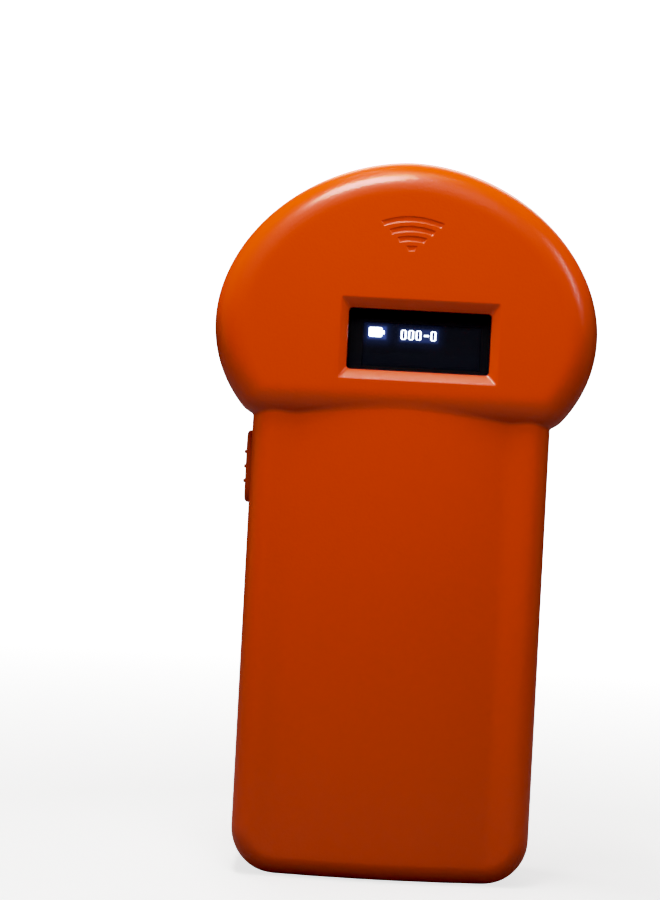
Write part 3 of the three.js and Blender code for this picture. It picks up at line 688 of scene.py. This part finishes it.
class Look:
    """A material, or the world, under construction from nodes, read in millimetres of the frame."""

    def __init__(self, name, kind=bpy.data.materials, output="ShaderNodeOutputMaterial"):
        self.made = kind.new(name)
        self.made.use_nodes = True
        self.nodes = self.made.node_tree.nodes
        self.links = self.made.node_tree.links
        self.nodes.clear()
        self.output = self.add(output)
        coordinates = self.add("ShaderNodeTexCoord")
        self.place = self.vector_math("SCALE", coordinates.outputs["Object"], scale=1 / MM)

    def add(self, kind, **settings):
        node = self.nodes.new(kind)
        for name, value in settings.items():
            setattr(node, name, value)
        return node

    def join(self, value, socket):
        """Links an output, or sets a plain value."""
        if isinstance(value, bpy.types.NodeSocket):
            self.links.new(value, socket)
        else:
            socket.default_value = value

    def vector_math(self, operation, vector, other=None, scale=None):
        node = self.add("ShaderNodeVectorMath", operation=operation)
        self.join(vector, node.inputs[0])
        if other is not None:
            self.join(other, node.inputs[1])
        if scale is not None:
            self.join(scale, node.inputs["Scale"])
        return node.outputs["Value" if operation == "LENGTH" else "Vector"]

    def math(self, operation, a, b=0.0):
        node = self.add("ShaderNodeMath", operation=operation)
        self.join(a, node.inputs[0])
        self.join(b, node.inputs[1])
        return node.outputs[0]

    def parts(self, vector):
        """A vector's X, Y and Z."""
        node = self.add("ShaderNodeSeparateXYZ")
        self.join(vector, node.inputs[0])
        return node.outputs

    def fill(self, node, **values):
        """Joins values to a node's inputs, whose names have underscores for spaces here."""
        for name, value in values.items():
            self.join(value, node.inputs[name.replace("_", " ")])
        return node.outputs

    def noise(self, size, detail=2.0, roughness=0.5, stretch=(1, 1, 1)):
        """Noise between 0 and 1 whose features measure about size millimetres."""
        place = self.vector_math("MULTIPLY", self.place, stretch)
        node = self.add("ShaderNodeTexNoise")
        return self.fill(node, Vector=place, Scale=1 / size, Detail=detail, Roughness=roughness)["Fac"]

    def wave(self, direction, scale, distortion):
        """Soft bands between 0 and 1 along a direction."""
        node = self.add("ShaderNodeTexWave", bands_direction=direction)
        return self.fill(node, Vector=self.place, Scale=scale, Distortion=distortion)["Fac"]

    def spread(self, value, low, high, start=0.0, end=1.0):
        """A value mapped from start..end to low..high."""
        node = self.add("ShaderNodeMapRange")
        return self.fill(node, Value=value, From_Min=start, From_Max=end, To_Min=low, To_Max=high)["Result"]

    def mix(self, share, a, b):
        """A mix of two colours."""
        node = self.add("ShaderNodeMix", data_type="RGBA")
        for value, number in ((share, 0), (a, 6), (b, 7)):
            self.join(value, node.inputs[number])
        return node.outputs[2]

    def bump(self, height, depth):
        """A bump from a 0..1 height, depth millimetres tall."""
        return self.fill(self.add("ShaderNodeBump"), Height=height, Distance=depth * MM)["Normal"]

    def shader(self, kind, **values):
        return self.fill(self.add(kind), **values)[0]

    def surface(self, **values):
        return self.shader("ShaderNodeBsdfPrincipled", **values)

    def blend(self, share, first, second):
        """A mix of two shaders."""
        node = self.add("ShaderNodeMixShader")
        for value, socket in zip((share, first, second), node.inputs):
            self.join(value, socket)
        return node.outputs[0]

    def blend_by_camera(self, others, camera):
        """One shader for what the camera sees itself, and another for every other ray."""
        return self.blend(self.add("ShaderNodeLightPath").outputs["Is Camera Ray"], others, camera)

    def done(self, shader):
        self.links.new(shader, self.output.inputs["Surface"])
        return self.made

    def patterned(self, pattern, dark, light, rough, depth, relief=None, **others):
        """A finished surface whose colour, roughness and relief all follow one pattern."""
        height = pattern if relief is None else relief
        return self.done(self.surface(
            Base_Color=self.mix(pattern, dark, light), Roughness=self.spread(pattern, *rough),
            Normal=self.bump(height, depth), **others))


def tinted(colour, factor):
    """A colour made lighter or darker."""
    return tuple(min(channel * factor, 1.0) for channel in colour[:3]) + (1.0,)


def moulded_plastic(name, colour, roughness, grain_size, grain_depth, specular):
    """Satin moulded plastic: a spark-eroded grain, faint flow marks and a little uneven sheen."""
    look = Look(name)
    flow = look.noise(26, detail=1, stretch=(1.0, 1.0, 0.35))
    base = look.mix(flow, tinted(colour, 0.97), tinted(colour, 1.03))
    sheen = look.spread(look.noise(9, detail=1), roughness - 0.02, roughness + 0.02)
    grain = look.bump(look.noise(grain_size, detail=3, roughness=0.6), grain_depth)
    return look.done(look.surface(
        Base_Color=base, Roughness=sheen, Normal=grain, Specular_IOR_Level=specular))


def away_from(look, x, z):
    """How far each point lies from a middle point on the panel, along each axis."""
    return look.vector_math("ABSOLUTE", look.vector_math("SUBTRACT", look.place, (x, 0, z)))


def active_area(look, margin):
    """One inside the display's active area, grown by a margin, and nothing outside it."""
    away = look.parts(away_from(look, *ACTIVE_MIDDLE))
    soft = 0.25
    across, up = (half + margin for half in ACTIVE_HALF)
    inside_x = look.spread(away["X"], 1, 0, across, across + soft)
    inside_z = look.spread(away["Z"], 1, 0, up, up + soft)
    return look.math("MULTIPLY", inside_x, inside_z)


def smoked_glass():
    """A clear front with faint smears, and a black print on the back, open over the display. The print carries a
    faint painted blue-white glow.
    """
    look = Look("smoked_window")
    smear = look.noise(7, detail=4, stretch=(1.0, 1.0, 0.4))
    rough = look.spread(smear, 0.05, 0.12, 0.4, 0.8)
    gloss = look.shader("ShaderNodeBsdfGlossy", Color=(0.75, 0.87, 1.0, 1), Roughness=rough)
    clear = look.shader("ShaderNodeBsdfTransparent", Color=(0.9, 0.91, 0.94, 1))
    outside = look.math("SUBTRACT", 1, look.add("ShaderNodeNewGeometry").outputs["Backfacing"])
    mirror = look.math("MULTIPLY", look.shader("ShaderNodeFresnel", IOR=1.4), outside)
    front = look.blend(mirror, clear, gloss)
    # Painted light: the black print is given a faint blue-white glow, though it is no lamp.
    ink_with_painted_glow = look.surface(
        Base_Color=(0.006, 0.006, 0.008, 1), Roughness=0.4, Specular_IOR_Level=0.2,
        Emission_Color=(0.87, 0.92, 1.0, 1), Emission_Strength=0.003)
    print_margin = 0.6
    back = look.blend(active_area(look, print_margin), ink_with_painted_glow, clear)
    front_depth = 0.25
    in_front = look.math("LESS_THAN", look.parts(look.place)["Y"], LENS_LOW[1] + front_depth)
    return look.done(look.blend(in_front, back, front))


def glow_round(look, place, columns, reach):
    """Light that fades with the distance from a row of marks on the panel."""
    half_x, half_z = columns * DOT / 2, len(ZERO) * DOT / 2
    away = away_from(look, place[0] + half_x, place[1] - half_z)
    beyond = look.vector_math("MAXIMUM", look.vector_math("SUBTRACT", away, (half_x, 0, half_z)), (0, 0, 0))
    distance = look.vector_math("LENGTH", look.vector_math("MULTIPLY", beyond, (1 / reach, 0, 1 / reach)))
    return look.math("EXPONENT", look.math("MULTIPLY", look.math("MULTIPLY", distance, distance), -1.0))


def panel_glass():
    """The display's black glass: a faint blue lit field with glow around the lit marks."""
    look = Look("display_glass")
    rows = ((BATTERY_PLACE, len(BATTERY_SIGN[0]), 1.0), (DIGITS_PLACE, TEXT_DOTS, 0.45))
    glow = 0
    for place, columns, strength in rows:
        for reach, share in ((0.35, 0.3), (1.3, 0.05)):
            halo = look.math("MULTIPLY", glow_round(look, place, columns, reach), share * strength)
            glow = look.math("ADD", halo, glow)
    grain = look.spread(look.noise(0.5, detail=2), 0.9, 1.1)
    level = look.math("MULTIPLY", look.spread(active_area(look, 0), 0.7, 1.0), grain)
    haze = look.vector_math("SCALE", (0.0024, 0.0031, 0.0042), scale=level)
    light = look.vector_math("ADD", look.vector_math("SCALE", (0.12, 0.25, 1.0), scale=glow), haze)
    return look.done(look.surface(
        Base_Color=(0.011, 0.012, 0.016, 1), Roughness=0.12, Emission_Color=light, Emission_Strength=1.0))


def lit_dots():
    """White-blue light, slightly uneven from dot to dot."""
    look = Look("display_light")
    level = look.spread(look.noise(0.3, detail=1), 5, 8, 0.35, 0.65)
    return look.done(look.surface(
        Base_Color=(0.02, 0.02, 0.03, 1), Roughness=0.5,
        Emission_Color=(0.78, 0.88, 1.0, 1), Emission_Strength=level))


def nickel_steel():
    """Nickel-plated steel with fine turned marks."""
    look = Look("nickel_steel")
    marks = look.noise(0.35, detail=3, stretch=(1.0, 6.0, 1.0))
    tint = look.mix(look.noise(1.5), (0.5, 0.5, 0.52, 1), (0.66, 0.66, 0.67, 1))
    return look.done(look.surface(
        Base_Color=tint, Metallic=1.0, Roughness=look.spread(marks, 0.22, 0.4, 0.3, 0.7),
        Normal=look.bump(marks, 0.006)))


def label_film():
    """Blank satin film with a fine brushed grain."""
    look = Look("blank_label_film")
    brushed = look.noise(0.5, detail=4, stretch=(0.06, 1.0, 1.0))
    tint = look.mix(look.spread(brushed, 0, 1, 0.3, 0.7), (0.5, 0.51, 0.52, 1), (0.62, 0.63, 0.64, 1))
    return look.done(look.surface(
        Base_Color=tint, Metallic=0.35, Roughness=look.spread(brushed, 0.34, 0.5),
        Normal=look.bump(brushed, 0.004)))


def foam():
    """Black closed-cell foam."""
    look = Look("black_foam")
    cells = look.noise(0.45, detail=5, roughness=0.7)
    return look.patterned(cells, (0.008, 0.008, 0.009, 1), (0.035, 0.035, 0.038, 1), (0.95, 0.95), 0.12)


def natural_nylon():
    """Off-white nylon with a slight mottle and a finer grain."""
    look = Look("natural_nylon")
    mottle = look.noise(3, detail=4)
    return look.patterned(
        mottle, (0.62, 0.59, 0.5, 1), (0.76, 0.74, 0.67, 1), (0.42, 0.58), 0.008, relief=look.noise(0.3))


def amber_film():
    """Amber polyimide film with long ripples."""
    look = Look("amber_film")
    ripple = look.noise(2.2, detail=3, stretch=(1.0, 1.0, 0.3))
    return look.patterned(ripple, (0.42, 0.15, 0.015, 1), (0.62, 0.26, 0.03, 1), (0.25, 0.25), 0.05)


def solder_mask():
    """Green solder mask, with faint copper tracks under it."""
    look = Look("green_board")
    tracks = look.spread(look.wave("DIAGONAL", 0.55, 3), 0, 1, 0.72, 0.8)
    tint = look.mix(tracks, (0.012, 0.13, 0.035, 1), (0.03, 0.24, 0.06, 1))
    rough = look.spread(look.noise(0.4, detail=3), 0.28, 0.42)
    return look.done(look.surface(Base_Color=tint, Roughness=rough, Normal=look.bump(tracks, 0.03)))


def chip_epoxy():
    """Black moulded epoxy with a dull stipple."""
    look = Look("black_epoxy")
    stipple = look.noise(0.22, detail=3)
    return look.patterned(stipple, (0.009, 0.009, 0.01, 1), (0.026, 0.026, 0.028, 1), (0.45, 0.7), 0.015)


def pouch_foil():
    """Laminated foil with soft wrinkles."""
    look = Look("pouch_foil")
    wrinkle = look.noise(6, detail=5, roughness=0.6)
    return look.patterned(
        wrinkle, (0.42, 0.42, 0.44, 1), (0.6, 0.6, 0.62, 1), (0.25, 0.45), 0.25, Metallic=0.8)


def lead_sleeve(name, colour):
    """Flexible lead insulation."""
    look = Look(name)
    scuff = look.noise(1.2, detail=4)
    return look.patterned(scuff, tinted(colour, 0.8), tinted(colour, 1.1), (0.38, 0.55), 0.02)


def copper_winding():
    """Enamelled copper wire, wound in fine rings."""
    look = Look("copper_winding")
    winding = look.wave("Y", 0.8, 0.6)
    return look.patterned(
        winding, (0.2, 0.05, 0.015, 1), (0.6, 0.2, 0.06, 1), (0.3, 0.3), 0.1, Metallic=0.9)


# Lit marks: a battery sign and a row of generic digits.
ZERO = (".####.",) + ("##..##",) * 8 + (".####.",)
DASH = ("......",) * 4 + (".#####",) * 2 + ("......",) * 4
TEXT = (ZERO, ZERO, ZERO, DASH, ZERO)
TEXT_DOTS = DIGIT_STEP * (len(TEXT) - 1) + len(ZERO[0])
BATTERY_END = (".############...", "##############..", "##############..")
BATTERY_SIGN = BATTERY_END + ("################",) * 4 + BATTERY_END[::-1]

CASE_ORANGE = (0.80, 0.069, 0.0006, 1)
BUTTON_ORANGE = tinted(CASE_ORANGE, 0.72)

# One material for each of the record's slots.
LOOKS = {
    "case_orange": moulded_plastic("case_orange_plastic", CASE_ORANGE, 0.23, 0.55, 0.045, 0.5),
    "button_orange": moulded_plastic("button_orange_plastic", BUTTON_ORANGE, 0.5, 0.5, 0.02, 0.35),
    "window_black": smoked_glass(),
    "oled_glass": panel_glass(),
    "foam_black": foam(),
    "white_plastic": natural_nylon(),
    "amber_film": amber_film(),
    "board_green": solder_mask(),
    "chip_black": chip_epoxy(),
    "bare_steel": nickel_steel(),
    "cell_foil": pouch_foil(),
    "lead_red": lead_sleeve("red_sleeve", (0.45, 0.01, 0.01, 1)),
    "lead_black": lead_sleeve("black_sleeve", (0.012, 0.012, 0.013, 1)),
    "copper_wire": copper_winding(),
    "label_film": label_film(),
}


def dress(piece, material):
    piece.data.materials.clear()
    piece.data.materials.append(material)


def dress_cad_nodes():
    """Every CAD node takes its slot's material. Nodes that a new piece stands for stay hidden."""
    for part in frame["record"]["subparts"]:
        dress(frame["nodes"][part["node"]], LOOKS[part["material_slot"]])


def finish_piece(piece, body, slot, *nodes):
    """Shades a new piece and gives it its slot's material, its body and the CAD nodes it stands for."""
    shade_by_angle(piece)
    dress(piece, LOOKS[slot])
    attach(piece, body)
    if nodes:
        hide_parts(*nodes)


# -------- casing

def wall_band(name, inset, reach):
    """All that lies deeper than an inset under the casing's surface, from before the seam to behind it."""
    band = field_object(name, sunk_field(inset), HIDDEN_STEP, HIDDEN_ZONES)
    return combine(band, [slab(f"{name}_slab", -reach, PASS)], "INTERSECT")


def build_front_shell(shell, inner):
    """The front half: hollow, grooved for the tongue, with the window, the waves, the slot and the port."""
    combine(shell, [slab("front_half", FRONT_Y - PASS, -SEAM_HALF_GAP)], "INTERSECT")
    groove = wall_band("groove", TONGUE_INSET - TONGUE_GAP, TONGUE_REACH + TONGUE_GAP)
    openings = [window_cutter()] + wave_cutters() + [button_cutter(), port_cutter()]
    combine(shell, [inner, groove] + openings, "DIFFERENCE")
    finish_piece(shell, "casing", "case_orange", "front_shell")
    shade_by_field(shell)


def build_rear_shell(shell, inner):
    """The rear half: hollow, with its tongue, screw pillars, bores, sound slots and label recess."""
    combine(shell, [slab("rear_half", SEAM_HALF_GAP, BACK_Y + PASS)], "INTERSECT")
    combine(shell, [wall_band("tongue", TONGUE_INSET, TONGUE_REACH)], "UNION")
    combine(shell, [inner], "DIFFERENCE")
    pillars = []
    cutters = [sound_slot_cutter(number) for number in (-1, 0, 1)] + [label_cutter(), button_cutter()]
    for node in SCREW_NODES:
        low, high = box_mm(node)
        x, _, z = (low + high) / 2
        outline = circle_outline(x, z, PILLAR)
        pillars.append(prism("pillar", outline, facing_y, PILLAR_FOOT_Y, BACK_Y - WALL / 2))
        cutters += bore_cutters(x, z)
    combine(shell, pillars, "UNION")
    combine(shell, cutters, "DIFFERENCE")
    finish_piece(shell, "casing", "case_orange", "rear_shell")
    shade_by_field(shell)


def build_casing():
    """The front and rear shells as two cut halves of one hollow body."""
    outer = field_object("casing_rear", lipped_field, CASING_STEP, CASING_ZONES)
    inner = field_object("inner", sunk_field(WALL), HIDDEN_STEP, HIDDEN_ZONES)
    front = place_object("casing_front", outer.data.copy())
    build_front_shell(front, place_object("inner_front", inner.data.copy()))
    build_rear_shell(outer, inner)


# -------- window and display

def build_lens():
    """The smoked lens: a plateau that fills the funnel's foot, on a wider flange behind the wall."""
    def plateau(inset, y):
        grow = -inset - LENS_GAP / 2
        return facing_y(window_outline(grow, grow, grow, WINDOW_CORNER), y)

    flange = rectangle_outline(LENS_LOW[0], LENS_HIGH[0], LENS_LOW[2], LENS_HIGH[2], WINDOW_CORNER)
    step_y = LENS_HIGH[1] - LENS_FLANGE_THICKNESS
    rings = [plateau(inset, LENS_LOW[1] + depth) for inset, depth in quarter_round(LENS_EASE)]
    rings += [plateau(0, step_y), facing_y(flange, step_y), facing_y(flange, LENS_HIGH[1])]
    finish_piece(loft("window_lens", rings), "casing", "window_black", "display_window")


def dots(pattern, left, top):
    """The middle of each lit dot of a pattern."""
    return [(left + column * DOT, top - row * DOT)
            for row, line in enumerate(pattern) for column, mark in enumerate(line) if mark == "#"]


def build_marks():
    """Each lit dot is a small block that stands just proud of the panel."""
    places = dots(BATTERY_SIGN, *BATTERY_PLACE)
    for index, glyph in enumerate(TEXT):
        places += dots(glyph, DIGITS_PLACE[0] + index * DIGIT_STEP * DOT, DIGITS_PLACE[1])
    size = Matrix.Diagonal(Vector((DOT * DOT_FILL, DOT_HEIGHT, DOT * DOT_FILL)) * MM).to_4x4()
    middle_y = PANEL_LOW[1] - DOT_GAP - DOT_HEIGHT / 2
    working = bmesh.new()
    for x, z in places:
        place = Matrix.Translation(Vector((x, middle_y, z)) * MM)
        bmesh.ops.create_cube(working, size=1, matrix=place @ size)
    marks = finish_solid("display_marks", working)
    finish_piece(marks, "casing", "oled_glass")
    dress(marks, lit_dots())


# -------- button, label, screws and port

def button_bar(number):
    """One of the cap's raised bars, counted from the middle one."""
    z = BUTTON_Z + number * BAR_PITCH
    rings = []
    for extra, out in BAR_RINGS:
        half_y, half_z = BAR_HALF_LENGTH + extra, BAR_HALF_WIDTH + extra
        rings.append(facing_x(centred_outline(0, z, half_y, half_z, half_z - 0.01), BUTTON_LOW[0] + out))
    return loft(f"button_bar_{number}", rings)


def button_flange():
    """The plate behind the wall that keeps the button in."""
    start = BUTTON_HIGH[0] - STEM_LENGTH
    overlap = 0.01
    plate = rectangle_outline(BUTTON_LOW[1], BUTTON_HIGH[1], BUTTON_LOW[2], BUTTON_HIGH[2], corner=1)
    return prism("button_flange", plate, facing_x, start - overlap, start + FLANGE_THICKNESS)


def button_stem():
    """The round stem that meets the switch's plunger."""
    middle_y = (PLUNGER_LOW[1] + PLUNGER_HIGH[1]) / 2
    outline = circle_outline(middle_y, BUTTON_Z, (PLUNGER_HIGH[1] - PLUNGER_LOW[1]) / 2, steps=32)
    start = BUTTON_HIGH[0] - STEM_LENGTH + FLANGE_THICKNESS / 2
    return prism("button_stem", outline, facing_x, start, BUTTON_HIGH[0])


def build_button():
    """The scan button: a softly domed cap with three raised bars, on a flange with a stem."""
    rings = []
    for inset, depth in quarter_round(1, steps=6):
        outline = button_outline(-CAP_GAP - CAP_DOME_WIDTH * inset)
        rings.append(facing_x(outline, BUTTON_LOW[0] + CAP_DOME_HEIGHT * depth))
    rings.append(facing_x(button_outline(-CAP_GAP), BUTTON_HIGH[0] - STEM_LENGTH))
    cap = loft("scan_button_cap", rings)
    added = [button_bar(number) for number in (-1, 0, 1)] + [button_flange(), button_stem()]
    combine(cap, added, "UNION")
    finish_piece(cap, "button", "button_orange", "scan_button")


def build_label():
    """A blank film label in its recess, with an eased edge."""
    rings = [facing_y(label_outline(0), LABEL_LOW[1])]
    for depth, inset in quarter_round(LABEL_EDGE, steps=3):
        rings.append(facing_y(label_outline(-inset), LABEL_HIGH[1] - depth))
    finish_piece(loft("blank_label", rings), "casing", "label_film", "rear_label")


def screw_profile(tip, seat):
    """The screw's outline as radius and Y: point, thread, flat under the head and domed head."""
    ease = 0.1
    profile = [(SCREW_POINT, tip), (SCREW_CORE - ease / 2, tip + SCREW_TAPER)]
    pitch = (seat - tip - SCREW_PLAIN) / SCREW_TURNS
    for turn in range(SCREW_TURNS):
        start = tip + SCREW_TAPER + ease + turn * pitch
        for radius, share in ((SCREW_CORE, 0), (SCREW_CREST, 0.4), (SCREW_CORE, 0.8)):
            profile.append((radius, start + share * pitch))
    profile += [(SCREW_NECK, seat), (SCREW_HEAD - ease, seat), (SCREW_HEAD, seat + 1.5 * ease)]
    steps = 6
    for n in range(1, steps + 1):
        turn = n / steps * math.pi / 2
        radius = SCREW_NECK + (SCREW_HEAD - SCREW_NECK) * math.cos(turn) ** SCREW_DOME_POWER + SCREW_SPREAD
        profile.append((radius, seat + SCREW_RIM + SCREW_DOME * math.sin(turn)))
    return profile


def cross_arm(x, z, half_x, half_z, top):
    """One arm of a cross recess, narrower towards its floor."""
    corner = 0.1
    wide = centred_outline(x, z, half_x, half_z, corner, steps=2)
    narrow = centred_outline(x, z, half_x * CROSS_TAPER, half_z * CROSS_TAPER, corner / 2, steps=2)
    sections = ((wide, top + PASS), (wide, top - corner), (narrow, top - CROSS_DEPTH))
    return loft("cross_arm", [facing_y(outline, y) for outline, y in sections])


def build_screw(node):
    """A pan-head screw with a domed head, a cross recess and a threaded shank."""
    low, high = box_mm(node)
    x, _, z = (low + high) / 2
    top = high[1]
    rings = []
    for radius, y in screw_profile(low[1], top - SCREW_RIM - SCREW_DOME):
        rings.append(facing_y(circle_outline(x, z, radius, SCREW_SIDES), y))
    screw = loft(node.replace("rear", "pan"), rings)
    sizes = ((CROSS_LONG, CROSS_SHORT), (CROSS_SHORT, CROSS_LONG))
    combine(screw, [cross_arm(x, z, half_x, half_z, top) for half_x, half_z in sizes], "DIFFERENCE")
    finish_piece(screw, "casing", "bare_steel", node)


def port_ring(inset, z):
    """The port's outline, moved in by an amount: square at the front, chamfered at the back."""
    front, back = PORT_LOW[1] + inset, PORT_HIGH[1] - inset
    shoulder = front + PORT_SHOULDER * (PORT_HIGH[1] - PORT_LOW[1])
    wide = PORT_HIGH[0] - inset
    narrow = wide - PORT_CHAMFER
    outline = [(-wide, front), (wide, front), (wide, shoulder), (narrow, back), (-narrow, back), (-wide, shoulder)]
    return facing_z(outline, z)


def build_port():
    """The port: a folded steel shell with two chamfered corners around a contact tongue."""
    bevel_depth, mouth_depth, tongue_depth, floor = 0.1, 0.25, 0.5, 0.8
    low_z, high_z = PORT_LOW[2], PORT_HIGH[2]
    shell = loft("usb_port", [
        port_ring(PORT_BEVEL, low_z), port_ring(0, low_z + bevel_depth), port_ring(0, high_z)])
    hollow = loft("port_hollow", [
        port_ring(PORT_STEEL - PORT_BEVEL, low_z - PASS), port_ring(PORT_STEEL, low_z + mouth_depth),
        port_ring(PORT_STEEL, high_z - floor)])
    combine(shell, [hollow], "DIFFERENCE")
    y = PORT_LOW[1] + PORT_TONGUE_PLACE * (PORT_HIGH[1] - PORT_LOW[1])
    outline = centred_outline(0, y, PORT_HIGH[0] - PORT_TONGUE_MARGIN, PORT_TONGUE_HALF, 0.1, steps=2)
    tongue = prism("port_tongue", outline, facing_z, low_z + tongue_depth, high_z - floor / 2)
    combine(shell, [tongue], "UNION")
    finish_piece(shell, "casing", "bare_steel", "usb_socket")


# -------- stage

HEAD_MIDDLE = Vector((0, FRONT_Y, HEAD_MIDDLE_Z)) * MM

WHITE = (1, 1, 1)
COOL = (0.9, 0.95, 1.0)
CREAM = (1, 0.95, 0.68)
WARM = (1.0, 0.62, 0.16)

# Each lamp: degrees off the display's axis, degrees round that axis from the right, distance, width and
# height in metres, watts, colour, and the reflections that it reaches.
LAMPS = {
    "key": (88, 100, 0.36, 0.3, 0.06, 2.5, WHITE, "diffuse"),
    "top_glint": (61, 105, 0.36, 0.17, 0.11, 1.3, COOL, "glossy"),
    "sill_glint": (76, 87, 0.36, 0.12, 0.05, 0.11, CREAM, "glossy"),
    "right_glint": (66, 30, 0.4, 0.02, 0.13, 0.19, WHITE, "glossy"),
    "top_fill": (45, 95, 0.27, 0.24, 0.12, 0.48, WHITE, "diffuse"),
    "left_fill": (50, 135, 0.3, 0.26, 0.2, 0.08, WHITE, "diffuse"),
    "right_fill": (50, 50, 0.3, 0.26, 0.2, 0.02, WHITE, "diffuse"),
    "left_side": (88, 165, 0.6, 0.4, 0.6, 0.2, WARM, "both"),
    "right_side": (88, 15, 0.6, 0.4, 0.6, 0.13, WARM, "both"),
    "left_back": (120, 172, 0.6, 0.4, 0.5, 0.35, WHITE, "diffuse"),
    "right_back": (120, 8, 0.6, 0.4, 0.5, 0.5, WHITE, "diffuse"),
    "back_fill": (150, 80, 0.9, 0.6, 0.6, 2.8, WHITE, "both"),
}


def build_lamp(name, off_axis, turn, distance, width, height, power, colour, reaches):
    """A soft box aimed at the head.

    It can reach matt or glossy reflections alone, as a studio's flags and cards make a lamp do.
    """
    off_axis, turn = math.radians(off_axis), math.radians(turn)
    aside = math.sin(off_axis)
    outward = Vector((aside * math.cos(turn), -math.cos(off_axis), aside * math.sin(turn)))
    data = bpy.data.lights.new(name, "AREA")
    data.shape = "RECTANGLE"
    data.size = width
    data.size_y = height
    data.energy = power
    data.color = colour
    lamp = place_object(name, data)
    lamp.location = HEAD_MIDDLE + outward * distance
    lamp.rotation_euler = outward.to_track_quat("Z", "Y").to_euler()
    lamp.visible_glossy = reaches != "diffuse"
    lamp.visible_diffuse = reaches != "glossy"


def build_world():
    """White to the camera, and a dim warm room to everything else."""
    look = Look("studio", bpy.data.worlds, "ShaderNodeOutputWorld")
    room = look.shader("ShaderNodeBackground", Color=(1, 0.6, 0.16, 1), Strength=0.042)
    white = look.shader("ShaderNodeBackground", Color=(1, 1, 1, 1), Strength=4)
    bpy.context.scene.world = look.done(look.blend_by_camera(room, white))


def pale_floor():
    """Pale to the camera, fading to white with distance. Dim to everything else, to bounce little light."""
    look = Look("pale_floor")
    away = look.vector_math("LENGTH", look.place)
    glow = look.shader("ShaderNodeEmission", Strength=look.spread(away, 1.2, 4, 120, 900))
    tint = look.mix(look.noise(60, detail=4), (0.5, 0.5, 0.5, 1), (0.54, 0.54, 0.54, 1))
    seen = look.add("ShaderNodeAddShader")
    look.join(glow, seen.inputs[0])
    look.join(look.shader("ShaderNodeBsdfDiffuse", Color=tint), seen.inputs[1])
    dim = look.shader("ShaderNodeBsdfDiffuse", Color=(0.12, 0.12, 0.12, 1))
    return look.done(look.blend_by_camera(dim, seen.outputs[0]))


def build_floor():
    """A plain pale floor under the handle's flat end."""
    reach, thickness, gap = 3000, 5, 0.02
    outline = centred_outline(0, 0, reach, reach, corner=10)
    floor = prism("floor", outline, facing_z, END_Z - thickness, END_Z - gap)
    dress(floor, pale_floor())


# Exposure: the level that shows as black, the level that shows as white, and how light above the
# middle greys rolls off towards white, as pairs of light and shown value.
BLACK_POINT = 0.005
WHITE_POINT = 3.0
SHOULDER = ((0.3, 0.3), (0.6, 0.58), (1.0, 0.7), (1.4, 0.78), (2.0, 0.89))

# The camera looks straight at the display, from left of the handle's axis, and is rolled a little.
CAMERA_DISTANCE = 500
CAMERA_X = -15.2
CAMERA_Z = 92.5
CAMERA_ROLL = math.radians(-3.05)
CAMERA_LENS = 93.2


def set_exposure(view):
    """A plain display transform with a soft shoulder, so that bright light doesn't clip."""
    view.view_transform = "Standard"
    view.use_curve_mapping = True
    mapping = view.curve_mapping
    mapping.white_level = (WHITE_POINT,) * 3
    mapping.black_level = (BLACK_POINT,) * 3
    all_channels = mapping.curves[3]
    for light, shown in SHOULDER:
        all_channels.points.new(light / WHITE_POINT, shown)
    mapping.update()


def build_camera():
    """The camera, at the scene's own viewing angle."""
    data = bpy.data.cameras.new("view")
    data.lens = CAMERA_LENS
    data.sensor_width = 36
    data.clip_start = 0.01
    camera = place_object("view", data)
    camera.location = Vector((CAMERA_X, FRONT_Y - CAMERA_DISTANCE, CAMERA_Z)) * MM
    upright = Matrix.Rotation(math.pi / 2, 4, "X")
    camera.rotation_euler = (Matrix.Rotation(CAMERA_ROLL, 4, "Y") @ upright).to_euler()
    bpy.context.scene.camera = camera


# -------- build

dress_cad_nodes()
build_casing()
build_lens()
build_marks()
build_button()
build_label()
for screw_node in SCREW_NODES:
    build_screw(screw_node)
build_port()
build_floor()
build_world()
for lamp_name, lamp_settings in LAMPS.items():
    build_lamp(lamp_name, *lamp_settings)
build_camera()
set_exposure(bpy.context.scene.view_settings)
